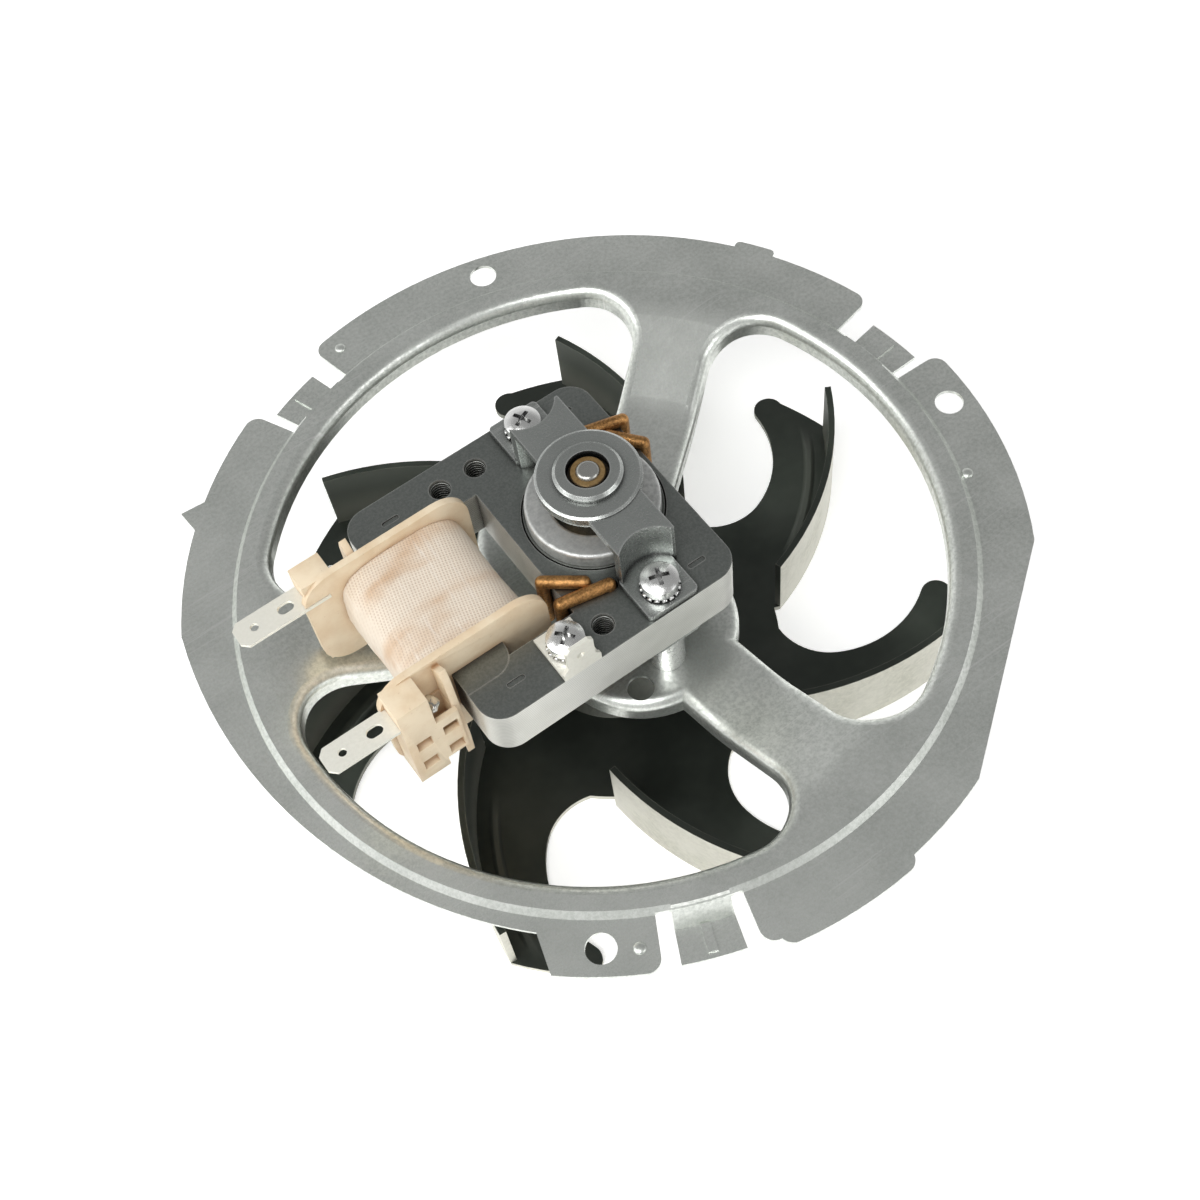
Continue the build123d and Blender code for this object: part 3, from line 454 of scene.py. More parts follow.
def lamination_steel():
    """Stacked sheets: dark satin on top, parting lines on the pale cut sides, pale worn edges with
    a painted highlight, and painted shade in the holes.
    """
    sheet_pitch = 0.65 * mm
    material, tree, shader, place = start_material("laminations", 0.9, 0.36)
    grain = use_group(tree, metal_grain, place, Scale=1900.0)
    wear_and_highlight = use_group(tree, edge_wear_and_highlight, place, Width=0.4 * mm)
    deep = use_group(tree, painted_shade, Reach=4 * mm)
    wave = math(tree, "SINE", math(tree, "MULTIPLY", split(tree, place)["Z"], 2 * pi / sheet_pitch))
    upright = step(tree, math(tree, "ABSOLUTE", facing_up(tree)), 0.6, 0.3)
    lines = math(tree, "MULTIPLY", step(tree, wave, 0.3, 0.95), upright)
    flat = mix_colours(tree, grain.outputs["Grain"], (0.19, 0.205, 0.195), (0.25, 0.265, 0.25))
    cut = mix_colours(tree, grain.outputs["Cloud"], (0.66, 0.66, 0.62), (0.84, 0.84, 0.80))
    colour = mix_colours(tree, upright, flat, cut)
    colour = mix_colours(tree, math(tree, "MULTIPLY", lines, 0.4), colour, (0.3, 0.3, 0.28))
    # Pale edges: edge wear with a painted highlight.
    wear_and_highlight_amount = math(tree, "MULTIPLY", wear_and_highlight.outputs["Mask"], 0.7)
    colour = mix_colours(tree, wear_and_highlight_amount, colour, (0.86, 0.86, 0.82))
    # Painted shade deep in the holes.
    colour = mix_colours(tree, deep.outputs["Mask"], colour, (0.035, 0.035, 0.03))
    link(tree, colour, shader.inputs["Base Color"])
    link(tree, step(tree, upright, 0.0, 1.0, 0.36, 0.52), shader.inputs["Roughness"])
    relief = math(tree, "MULTIPLY_ADD", lines, -1.0, grain.outputs["Grain"])
    add_bump(tree, shader, relief, 0.3, 0.04 * mm)
    return material


def impeller_steel():
    """Sheet with painted shade on its upward faces and a painted reflection of the pale floor on
    the blades' outer walls, which are paler; the inner walls carry painted shade, darker towards
    the top. A pressed bead beside each blade has a painted highlight.
    """
    material, tree, shader, place = start_material("impeller_sheet", 0.75, 0.36)
    grain = use_group(tree, metal_grain, place, Scale=700.0)
    wear_and_highlight = use_group(tree, edge_wear_and_highlight, place, Width=0.3 * mm)
    up = step(tree, facing_up(tree), 0.35, 0.75)
    # Painted shade: the upward faces near black.
    flat = mix_colours(tree, grain.outputs["Cloud"], (0.040, 0.047, 0.040), (0.062, 0.069, 0.060))
    # Painted reflection of the pale floor on the blades' outer walls.
    outer_wall_reflection = mix_colours(tree, grain.outputs["Grain"], (0.50, 0.50, 0.43), (0.66, 0.65, 0.57))
    outer_wall_reflection = mix_colours(tree, grain.outputs["Cloud"], outer_wall_reflection, (0.70, 0.69, 0.62))
    axes = split(tree, place)
    # Painted shade on the inner walls, darker towards the top.
    inner_shade_fade = step(tree, axes["Z"], wall_shade_top, wall_shade_bottom, 0.0, 0.4)
    inner_wall_shade = mix_colours(tree, inner_shade_fade, (0.10, 0.11, 0.095), (0.46, 0.46, 0.40))
    normal = split(tree, own_normal(tree))
    outward = math(tree, "ADD", math(tree, "MULTIPLY", axes["X"], normal["X"]),
                   math(tree, "MULTIPLY", axes["Y"], normal["Y"]))
    wall = mix_colours(tree, step(tree, outward, -4 * mm, 4 * mm), inner_wall_shade, outer_wall_reflection)
    link(tree, step(tree, up, 0.0, 1.0, 0.5, 0.3), shader.inputs["Roughness"])
    angle = math(tree, "ARCTAN2", axes["Y"], axes["X"])
    turned = math(tree, "SUBTRACT", angle, radians(first_blade_angle))
    folded = math(tree, "WRAP", turned, sector_end, sector_end - 2 * pi / blade_count)
    reach = hypotenuse(tree, axes["X"], axes["Y"])
    across = math(tree, "MULTIPLY_ADD", reach, math(tree, "COSINE", folded), -blade_centre[0])
    along = math(tree, "MULTIPLY_ADD", reach, math(tree, "SINE", folded), -blade_centre[1])
    from_centre = hypotenuse(tree, across, along)
    beside = math(tree, "ABSOLUTE", math(tree, "SUBTRACT", from_centre, bead_radius))
    bead = step(tree, beside, *bead_flank)
    on_arm = math(tree, "MULTIPLY", step(tree, reach, *bead_start), step(tree, reach, *bead_finish))
    relief = math(tree, "MULTIPLY", math(tree, "MULTIPLY", bead, on_arm), up)
    # Painted highlight along the pressed bead.
    flat = mix_colours(tree, math(tree, "MULTIPLY", relief, 0.45), flat, (0.16, 0.17, 0.15))
    colour = mix_colours(tree, up, wall, flat)
    # Edge wear with a painted highlight.
    wear_and_highlight_amount = math(tree, "MULTIPLY", wear_and_highlight.outputs["Mask"], 0.35)
    colour = mix_colours(tree, wear_and_highlight_amount, colour, (0.5, 0.5, 0.42))
    link(tree, colour, shader.inputs["Base Color"])
    add_bump(tree, shader, relief, 0.5, 0.5 * mm)
    return material


def cream_plastic():
    """Heat-resistant moulding: warm cream, with a brown painted shade in its hollows."""
    material, tree, shader, place = start_material("cream_moulding", 0.0, 0.45)
    cloud = step(tree, noisy(tree, place, 130.0, 4.0, 0.6), 0.35, 0.68)
    speck = noisy(tree, place, 1400.0, 2.0, 0.5)
    deep = use_group(tree, painted_shade, Reach=3 * mm)
    colour = mix_colours(tree, cloud, (0.83, 0.70, 0.51), (0.74, 0.58, 0.39))
    spots = math(tree, "MULTIPLY", step(tree, speck, 0.68, 0.76), 0.3)
    colour = mix_colours(tree, spots, colour, (0.40, 0.24, 0.11))
    # Painted shade: brown deep in the hollows.
    hollow_shade = math(tree, "MULTIPLY", deep.outputs["Mask"], 0.75)
    colour = mix_colours(tree, hollow_shade, colour, (0.42, 0.22, 0.09))
    link(tree, colour, shader.inputs["Base Color"])
    add_bump(tree, shader, speck, 0.2, 0.04 * mm)
    return material


def woven_tape():
    """Glass tape: fine weave with pale brown varnish stains; loose, smooth layers on the side."""
    thread_pitch = 0.66 * mm
    material, tree, shader, place = start_material("woven_tape", 0.0, 0.6)
    axes = split(tree, mapped(tree, place, turn=(0, 0, radians(14))))
    warp = math(tree, "SINE", math(tree, "MULTIPLY", axes["X"], 2 * pi / thread_pitch))
    weft = math(tree, "SINE", math(tree, "MULTIPLY", axes["Y"], 2 * pi / thread_pitch))
    crossings = math(tree, "MULTIPLY", warp, weft)
    weave = math(tree, "MULTIPLY_ADD", crossings, 0.55, math(tree, "MULTIPLY", warp, 0.45))
    flat = step(tree, facing_up(tree), 0.35, 0.8, 0.25, 1.0)
    pits = math(tree, "MULTIPLY", step(tree, weave, 0.15, -0.6), flat)
    blots = noisy(tree, mapped(tree, place, (1, 2.2, 1)), 42.0, 3.0, 0.5)
    stain = step(tree, blots, 0.5, 0.72)
    fibres = noisy(tree, mapped(tree, place, (900, 60, 900)), 1.0, 3.0, 0.6)
    colour = mix_colours(tree, stain, (0.79, 0.70, 0.585), (0.60, 0.40, 0.24))
    colour = mix_colours(tree, math(tree, "MULTIPLY", pits, 0.62), colour, (0.50, 0.36, 0.26))
    pale = step(tree, fibres, 0.55, 0.8, 0.0, 0.35)
    colour = mix_colours(tree, pale, colour, (0.93, 0.91, 0.87))
    link(tree, colour, shader.inputs["Base Color"])
    shader.inputs["Sheen Weight"].default_value = 0.1
    add_bump(tree, shader, math(tree, "MULTIPLY", weave, flat), 0.5, 0.08 * mm)
    return material


def copper_wire():
    """Bare copper, browned in grains."""
    material, tree, shader, place = start_material("bare_copper", 0.9, 0.42)
    grain = step(tree, noisy(tree, place, 2100.0, 3.0, 0.7), 0.35, 0.65)
    patch = step(tree, noisy(tree, place, 260.0, 3.0), 0.35, 0.65)
    blend = math(tree, "MULTIPLY_ADD", grain, 0.6, math(tree, "MULTIPLY", patch, 0.4))
    colour = mix_colours(tree, blend, (0.20, 0.10, 0.035), (0.62, 0.33, 0.12))
    link(tree, colour, shader.inputs["Base Color"])
    add_bump(tree, shader, grain, 0.4, 0.06 * mm)
    return material


def plain_matter(name, low, high, scale, roughness, metallic=0.0, bump=0.3):
    """Felt, fibre, enamel and solder: two mixed tones with a fine relief."""
    material, tree, shader, place = start_material(name, metallic, roughness)
    tone = noisy(tree, place, scale, 4.0, 0.6)
    colour = mix_colours(tree, step(tree, tone, 0.35, 0.65), low, high)
    link(tree, colour, shader.inputs["Base Color"])
    add_bump(tree, shader, tone, bump, 0.08 * mm)
    return material


# Blades of the impeller: the arc of the first one, and the bead that runs beside each
blade_count = 7
first_blade_angle = 12.4
sector_end = radians(10)
blade_centre = (27.9 * mm, 46.8 * mm)
bead_radius = 64.3 * mm
bead_flank = (1.5 * mm, 0.4 * mm)
bead_start = (44 * mm, 52 * mm)
bead_finish = (78 * mm, 72 * mm)

# Heights between which the painted shade on the blades' inner walls grows darker, towards the top
impeller_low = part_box("impeller")[0][2]
wall_shade_top = impeller_low + 14 * mm
wall_shade_bottom = impeller_low + 3 * mm

materials = {
    "galvanised": sheet_metal("galvanised", (0.55, 0.58, 0.54), (0.92, 0.945, 0.90), 0.33,
                              grain_scale=1100.0, bump=0.12, scratch=0.6),
    # Strap steel: edge wear with a painted highlight, and painted shade in hollows.
    "strap_steel": sheet_metal("strap_steel", (0.34, 0.36, 0.345), (0.50, 0.52, 0.50), 0.30,
                               edge=(0.93, 0.94, 0.92), grain_scale=1700.0, bump=0.08,
                               scratch=0.4, hollow_shade=2.5 * mm, wear_and_highlight_width=0.5 * mm),
    "laminations": lamination_steel(),
    # Bright zinc: painted shade in holes and recesses.
    "bright_zinc": sheet_metal("bright_zinc", (0.74, 0.75, 0.74), (0.90, 0.90, 0.88), 0.24,
                               grain_scale=900.0, bump=0.1, metallic=0.92, hollow_shade=1.1 * mm,
                               hollow_shade_tone=0.22),
    "tinned": sheet_metal("tinned", (0.84, 0.83, 0.74), (0.93, 0.92, 0.83), 0.38,
                          grain_scale=1300.0, bump=0.15, metallic=0.35),
    "cast_aluminium": sheet_metal("cast_aluminium", (0.42, 0.43, 0.42), (0.74, 0.75, 0.73),
                                  0.5, grain_scale=750.0, bump=0.8, metallic=0.8),
    # Ground steel: edge wear with a painted highlight.
    "ground_steel": sheet_metal("ground_steel", (0.40, 0.40, 0.38), (0.54, 0.54, 0.51), 0.26,
                                edge=(0.8, 0.8, 0.78), wear_and_highlight_width=0.2 * mm),
    "impeller_sheet": impeller_steel(),
    # Sintered bronze: painted shade in its hollows.
    "bronze": sheet_metal("sintered_bronze", (0.30, 0.18, 0.07), (0.62, 0.42, 0.19), 0.38,
                          grain_scale=1200.0, bump=0.3, hollow_shade=1.6 * mm),
    "copper": copper_wire(),
    "cream_plastic": cream_plastic(),
    "tape": woven_tape(),
    "felt": plain_matter("oil_felt", (0.32, 0.28, 0.21), (0.46, 0.42, 0.34), 1500.0, 0.9),
    "enamel": plain_matter("enamelled_wire", (0.42, 0.17, 0.07), (0.58, 0.26, 0.11), 900.0,
                           0.3, 0.6),
    "fibre": plain_matter("fibre", (0.20, 0.13, 0.07), (0.32, 0.22, 0.13), 900.0, 0.6),
    "solder": plain_matter("solder", (0.50, 0.49, 0.45), (0.74, 0.73, 0.69), 800.0,
                           0.25, 0.95),
}

node_materials = {
    "galvanised": ("mounting_plate",),
    "laminations": ("stator_core", "coil_core", "rotor_core"),
    "copper": ("shading_rings",),
    "strap_steel": ("upper_bracket", "lower_bracket", "upper_retainer", "lower_retainer"),
    "bronze": ("upper_bush", "lower_bush"),
    "felt": ("upper_felt", "lower_felt"),
    "bright_zinc": ("bracket_screws", "earth_screw", "screw_washers", "spacers", "plate_nuts",
                    "impeller_washer", "impeller_nut"),
    "tinned": ("earth_tab", "terminal_left", "terminal_right"),
    "cream_plastic": ("bobbin",),
    "enamel": ("coil_winding",),
    "tape": ("coil_tape",),
    "cast_aluminium": ("rotor_cage",),
    "fibre": ("thrust_washers",),
    "ground_steel": ("shaft", "impeller_hub"),
    "impeller_sheet": ("impeller",),
}


def dress_cad_nodes():
    for finish, names in node_materials.items():
        for name in names:
            for place in nodes_by_name[name].material_slots:
                place.material = materials[finish]


# Sizes of the added pieces, in millimetres, or in metres where mm is written

# The stack's spare holes, the straps' screws and the earth screw
stack_holes = ((-14.0, 23.7), (-22.8, 23.7), (-14.4, -23.7))
screw_place = (-0.7, 24.4)
earth_place = (-22.9, -23.5)
strap_sheet = 1.5
tab_sheet = 0.8
washer_lift = 0.5
tooth_length = 1.1
tooth_width = 1.0
thread_start = 1.0

# Pips of the plate, as radius and heading in degrees
plate_sheet = 0.9
pip_radius = 1.3
pip_flatness = 0.42
pip_places = ((88.1, 99.8), (87.4, -120.5), (82.4, -22.3))

# Bobbin: its flanges, and the tube round the limb that carries the coil
limb_low, limb_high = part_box("coil_core")
limb_x = (limb_low[0] / mm, limb_high[0] / mm)
limb_z = (limb_low[2] / mm, limb_high[2] / mm)
bobbin_centre = 0.7
coil_half_length = 13.7
flange_sheet = 1.6
flange_x = (-60.5, -21.3)
flange_z = (0.45, 31.25)
flange_corner = 7.0
tube_wall = 1.3
tube_corner = 1.5
edge_softness = 0.35

# Terminal blocks of the bobbin, with a pocket, vents and an ear each
block_x = (-59.5, -52.5)
block_z = (2.0, 30.8)
block_reach = 20.9
ear_x = (-48.0, -46.4)
ear_rise = 0.8
overlap = 0.5
pocket_lift = 3.0
pocket_floor = 12.0
pocket_top = 20.5
pocket_wall = 1.2
pocket_back = 0.4
pocket_gap = 0.1
vent_rows = (15.8, 7.6)
vent_half = 1.7
vent_depth = 2.2
vent_shift = 0.4
terminal_root = -54.6
terminal_y = 17.3
terminal_z = 24.8
slot_half = 3.3
slot_height = 1.0

# Tape, and the winding below it
tape_low = (-53.5 * mm, -12.95 * mm, 3.05 * mm)
tape_high = (-23.5 * mm, 14.35 * mm, 28.65 * mm)
winding_inset = 0.8 * mm

# Shading rings, by the places of their legs
wire_radius = 1.4
leg_start = 2.0
ring_legs = (
    ((-12.0, -13.9), (-18.8, -8.6)),
    ((-8.3, -17.4), (-18.8, -15.2)),
    ((12.6, 12.2), (17.3, 6.2)),
    ((9.0, 16.2), (17.3, 13.8)),
)

# Solder on the two coil leads
solder_x = -51.6
solder_y = 18.6
solder_z = 24.6
solder_size = (1.7 * mm, 1.9 * mm, 0.9 * mm)


# Added pieces


def add_piece(name, mesh, finish, body="frame"):
    """Links a finished mesh as a piece that rides on a body."""
    mesh.materials.clear()
    mesh.materials.append(materials[finish])
    piece = bpy.data.objects.new(name, mesh)
    scene.collection.objects.link(piece)
    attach(piece, body)
    return piece


def wrapped_loop(name, node, finish, inset=0.0):
    """A soft rounded loop round the limb that sags between the flanges, with fine folds."""
    centre = (Vector(tape_low) + Vector(tape_high)) / 2
    half = (Vector(tape_high) - Vector(tape_low)) / 2
    rows = 72
    columns = 220
    squareness = 3.3
    layer = 0.55 * mm
    sag = 0.45 * mm
    end_dip = 0.35 * mm
    fold = 0.2 * mm
    ripple_round, ripple_along = 2.2, 5.0
    crease_round, crease_along = 7.0, 1.3
    vertices = []
    for row in range(rows + 1):
        along = 2 * row / rows - 1
        dip = sag * (1 - along ** 2) ** 2 + end_dip * max(0.0, along) ** 3
        for column in range(columns):
            turn = 2 * pi * column / columns
            across, upward = cos(turn), sin(turn)
            reach = (abs(across) ** squareness + abs(upward) ** squareness) ** (-1 / squareness)
            unit_x = across * reach
            unit_z = upward * reach
            ripple = noise.noise(Vector((
                unit_x * ripple_round, along * ripple_along, unit_z * ripple_round,
            )))
            crease = noise.noise(Vector((
                unit_x * crease_round, along * crease_along, unit_z * crease_round + 5.0,
            )))
            loose = max(0.0, -unit_x) * 0.9 + 0.3
            inward = inset + dip + fold * loose * (1 + ripple + 0.6 * crease)
            vertices.append((
                centre.x + unit_x * (half.x - inward),
                centre.y + half.y * along,
                centre.z + unit_z * (half.z - inward),
            ))
    outer_count = len(vertices)
    for x, y, z in vertices[:outer_count]:
        pull = Vector((centre.x - x, 0, centre.z - z)).normalized() * layer
        vertices.append((x + pull.x, y, z + pull.z))
    faces = []
    for row in range(rows):
        for column in range(columns):
            following = (column + 1) % columns
            a = row * columns + column
            b = row * columns + following
            c = (row + 1) * columns + following
            d = (row + 1) * columns + column
            faces.append((a, b, c, d))
            faces.append((d + outer_count, c + outer_count, b + outer_count, a + outer_count))
    for row in (0, rows):
        for column in range(columns):
            a = row * columns + column
            b = row * columns + (column + 1) % columns
            ring = (b, a, a + outer_count, b + outer_count)
            faces.append(ring if row == 0 else tuple(reversed(ring)))
    mesh = bpy.data.meshes.new(name)
    mesh.from_pydata(vertices, [], faces)
    mesh.validate()
    mesh.shade_smooth()
    piece = add_piece(name, mesh, finish)
    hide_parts(node)


def prism(builder, outline, axis, start, depth):
    """Adds a straight block along the axis; its outline is in YZ, XZ or XY for axis 0, 1 or 2."""
    order = {0: (2, 0, 1), 1: (0, 2, 1), 2: (0, 1, 2)}[axis]
    rings = []
    for level in (start, start + depth):
        ring = []
        for u, v in outline:
            raw = (u, v, level)
            ring.append(builder.verts.new([raw[order[i]] * mm for i in range(3)]))
        rings.append(ring)
    count = len(outline)
    builder.faces.new(rings[0])
    builder.faces.new(list(reversed(rings[1])))
    for index in range(count):
        following = (index + 1) % count
        builder.faces.new((
            rings[0][following], rings[0][index], rings[1][index], rings[1][following],
        ))


def rectangle(low_u, high_u, low_v, high_v):
    return [(low_u, low_v), (high_u, low_v), (high_u, high_v), (low_u, high_v)]


def rounded(low_u, high_u, low_v, high_v, corner, steps=8):
    """A rectangle's outline with round corners."""
    outline = []
    centres = (
        (high_u - corner, high_v - corner, 0),
        (low_u + corner, high_v - corner, 90),
        (low_u + corner, low_v + corner, 180),
        (high_u - corner, low_v + corner, 270),
    )
    for centre_u, centre_v, first in centres:
        for index in range(steps + 1):
            angle = radians(first + 90 * index / steps)
            outline.append((centre_u + corner * cos(angle), centre_v + corner * sin(angle)))
    return outline


def plain_mesh(name, fill):
    """A mesh from a function that fills a builder, with its faces turned outwards."""
    builder = bmesh.new()
    fill(builder)
    bmesh.ops.recalc_face_normals(builder, faces=builder.faces)
    mesh = bpy.data.meshes.new(name)
    builder.to_mesh(mesh)
    builder.free()
    return mesh


def carved(name, body, cutters, edge):
    """The body less its cutters, with softened edges, as a plain mesh."""
    carrier = bpy.data.objects.new(name, body)
    tool = bpy.data.objects.new(name + "_cutters", cutters)
    scene.collection.objects.link(carrier)
    scene.collection.objects.link(tool)
    cut = carrier.modifiers.new("cut", "BOOLEAN")
    cut.object = tool
    cut.solver = "EXACT"
    cut.use_self = True
    soften = carrier.modifiers.new("soften", "BEVEL")
    soften.width = edge
    soften.segments = 2
    soften.limit_method = "ANGLE"
    soften.angle_limit = radians(40)
    bpy.context.view_layer.update()
    graph = bpy.context.evaluated_depsgraph_get()
    mesh = bpy.data.meshes.new_from_object(carrier.evaluated_get(graph))
    mesh.name = name
    bpy.data.objects.remove(carrier)
    bpy.data.objects.remove(tool)
    mesh.shade_smooth()
    mesh.set_sharp_from_angle(angle=radians(35))
    return mesh


def span(first, second):
    """The two values with the lower one first."""
    return min(first, second), max(first, second)


def moulded_bobbin():
    """The moulding that carries the coil: tube, flanges, and a vented block at each terminal."""
    flange_outline = rounded(*flange_x, *flange_z, flange_corner)
    tube_x = (limb_x[0] - tube_wall, limb_x[1] + tube_wall)
    tube_z = (limb_z[0] - tube_wall, limb_z[1] + tube_wall)
    tube_outline = rounded(*tube_x, *tube_z, tube_corner)
    flanges = [(side, bobbin_centre + side * coil_half_length) for side in (1, -1)]

    def ear_outline(side, wall):
        """The pointed ear beside a block, in Y from the flange and Z."""
        tip = flange_z[1] + ear_rise
        knee = block_z[0] + 5.5
        points = (
            (0.8, flange_z[1] - 2.8),
            (5.0, tip),
            (6.0, tip - 2.8),
            (7.4, knee),
            (7.0, block_z[0] - 2.0),
            (4.6, knee),
            (0.8, knee),
        )
        return [(wall + side * out, height) for out, height in points]

    def fill_body(builder):
        for side, wall in flanges:
            near_face = min(wall, wall + side * flange_sheet)
            prism(builder, flange_outline, 1, near_face, flange_sheet)
            block_y = span(wall + side * flange_sheet / 2, side * block_reach)
            block = rectangle(*block_x, *block_y)
            prism(builder, block, 2, block_z[0], block_z[1] - block_z[0])
            shell = rectangle(block_x[1] - overlap, ear_x[0] + overlap, *block_y)
            shell_low = block_z[0] + pocket_lift
            prism(builder, shell, 2, shell_low, pocket_top - shell_low)
            prism(builder, ear_outline(side, wall), 0, ear_x[0], ear_x[1] - ear_x[0])
        tube_start = bobbin_centre - coil_half_length - flange_sheet / 2
        prism(builder, tube_outline, 1, tube_start, 2 * coil_half_length + flange_sheet)

    def fill_cutters(builder):
        well_past = 30
        prism(builder, rectangle(*limb_x, *limb_z), 1, -well_past, 2 * well_past)
        for side, wall in flanges:
            outer = side * block_reach
            back = wall + side * (flange_sheet + pocket_back)
            pocket_y = span(back, outer - side * pocket_wall)
            pocket = rectangle(block_x[1] + pocket_gap, ear_x[0] - pocket_gap, *pocket_y)
            prism(builder, pocket, 2, pocket_floor, well_past)
            columns = (sum(block_x) / 2, (block_x[1] + ear_x[0]) / 2 + vent_shift)
            vent_start = min(outer - side * vent_depth, outer + side)
            for row in vent_rows:
                for middle in columns:
                    vent = rectangle(middle - vent_half, middle + vent_half,
                                     row - vent_half, row + vent_half)
                    prism(builder, vent, 1, vent_start, vent_depth + 1)
            slot = rectangle(block_x[0] - 1, terminal_root,
                             side * terminal_y - slot_half, side * terminal_y + slot_half)
            prism(builder, slot, 2, terminal_z - slot_height / 2, slot_height)

    body = plain_mesh("moulded_bobbin_body", fill_body)
    cutters = plain_mesh("moulded_bobbin_cutters", fill_cutters)
    mesh = carved("moulded_bobbin", body, cutters, edge_softness * mm)
    piece = add_piece("moulded_bobbin", mesh, "cream_plastic")
    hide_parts("bobbin")


def pressed_pips():
    """The three small pips pressed up in the flange, one in each sector."""
    builder = bmesh.new()
    for radius, heading in pip_places:
        angle = radians(heading)
        place = Vector((radius * cos(angle), radius * sin(angle), plate_sheet)) * mm
        flat = Matrix.Translation(place) @ Matrix.Diagonal((1, 1, pip_flatness, 1))
        bmesh.ops.create_uvsphere(builder, u_segments=24, v_segments=12, radius=pip_radius * mm,
                                  matrix=flat)
    mesh = bpy.data.meshes.new("pressed_pips")
    builder.to_mesh(mesh)
    builder.free()
    mesh.shade_smooth()
    add_piece("pressed_pips", mesh, "galvanised")


def copper_loops():
    """The four shading rings as stout bent wire."""
    low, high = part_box("shading_rings")
    foot = low[2] / mm + leg_start
    top = high[2] / mm - wire_radius
    radius = wire_radius * mm
    sides = 16
    builder = bmesh.new()
    for inner_leg, outer_leg in ring_legs:
        corners = [Vector((*inner_leg, foot)), Vector((*inner_leg, top)),
                   Vector((*outer_leg, top)), Vector((*outer_leg, foot))]
        for first, second in zip(corners, corners[1:]):
            along = second - first
            turn = along.to_track_quat("Z", "Y").to_matrix().to_4x4()
            place = Matrix.Translation((first + second) / 2 * mm) @ turn
            bmesh.ops.create_cone(builder, cap_ends=True, segments=sides, radius1=radius,
                                  radius2=radius, depth=along.length * mm, matrix=place)
        for corner in corners[1:3]:
            bmesh.ops.create_uvsphere(builder, u_segments=sides, v_segments=10, radius=radius,
                                      matrix=Matrix.Translation(corner * mm))
    mesh = bpy.data.meshes.new("copper_loops")
    builder.to_mesh(mesh)
    builder.free()
    mesh.shade_smooth()
    mesh.set_sharp_from_angle(angle=radians(50))
    piece = add_piece("copper_loops", mesh, "copper")
    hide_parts("shading_rings")


def solder_drop(name, side):
    """A lumpy drop of solder on the end of one lead."""
    place = Vector((solder_x, side * solder_y, solder_z)) * mm
    mesh = bpy.data.meshes.new(name)
    rings = 12
    columns = 18
    vertices = []
    for ring in range(rings + 1):
        tilt = pi * ring / rings
        for column in range(columns):
            turn = 2 * pi * column / columns
            direction = Vector((sin(tilt) * cos(turn), sin(tilt) * sin(turn), cos(tilt)))
            lump = 1 + 0.25 * noise.noise(direction * 1.8 + place * 900)
            vertices.append(place + Vector([d * s * lump for d, s in zip(direction, solder_size)]))
    faces = []
    for ring in range(rings):
        for column in range(columns):
            following = (column + 1) % columns
            faces.append((
                ring * columns + column,
                (ring + 1) * columns + column,
                (ring + 1) * columns + following,
                ring * columns + following,
            ))
    mesh.from_pydata(vertices, [], faces)
    mesh.validate()
    mesh.shade_smooth()
    add_piece(name, mesh, "solder")


# Geometry node trees for what repeats


def new_tree(name, inputs):
    """A geometry tree with its group input and output; inputs map each name to type and default."""
    tree = bpy.data.node_groups.new(name, "GeometryNodeTree")
    tree.interface.new_socket(name="Geometry", in_out="INPUT", socket_type="NodeSocketGeometry")
    for label, (kind, value) in inputs.items():
        socket = tree.interface.new_socket(name=label, in_out="INPUT", socket_type=kind)
        if value is not None:
            socket.default_value = value
    tree.interface.new_socket(name="Geometry", in_out="OUTPUT", socket_type="NodeSocketGeometry")
    return tree, tree.nodes.new("NodeGroupInput"), tree.nodes.new("NodeGroupOutput")


def finish_tree(tree, geometry, start, end):
    """Ends a tree with its instances realised and its material set."""
    realise = tree.nodes.new("GeometryNodeRealizeInstances")
    paint = tree.nodes.new("GeometryNodeSetMaterial")
    link(tree, geometry, realise.inputs[0])
    link(tree, realise.outputs[0], paint.inputs["Geometry"])
    link(tree, start.outputs["Material"], paint.inputs["Material"])
    link(tree, paint.outputs[0], end.inputs[0])


def swept_ring(tree, radius, thickness, steps, sides):
    """A round ring whose radius and thickness come from sockets."""
    path = tree.nodes.new("GeometryNodeCurvePrimitiveCircle")
    path.inputs["Resolution"].default_value = steps
    link(tree, radius, path.inputs["Radius"])
    profile = tree.nodes.new("GeometryNodeCurvePrimitiveCircle")
    profile.inputs["Resolution"].default_value = sides
    link(tree, thickness, profile.inputs["Radius"])
    ring = tree.nodes.new("GeometryNodeCurveToMesh")
    link(tree, path.outputs[0], ring.inputs["Curve"])
    link(tree, profile.outputs[0], ring.inputs["Profile Curve"])
    return ring.outputs[0]


def repeated(tree, points, instance, turn=None):
    """The instance on every point, turned where a rotation is given."""
    node = tree.nodes.new("GeometryNodeInstanceOnPoints")
    link(tree, points, node.inputs["Points"])
    link(tree, instance, node.inputs["Instance"])
    if turn is not None:
        link(tree, turn, node.inputs["Rotation"])
    return node.outputs[0]


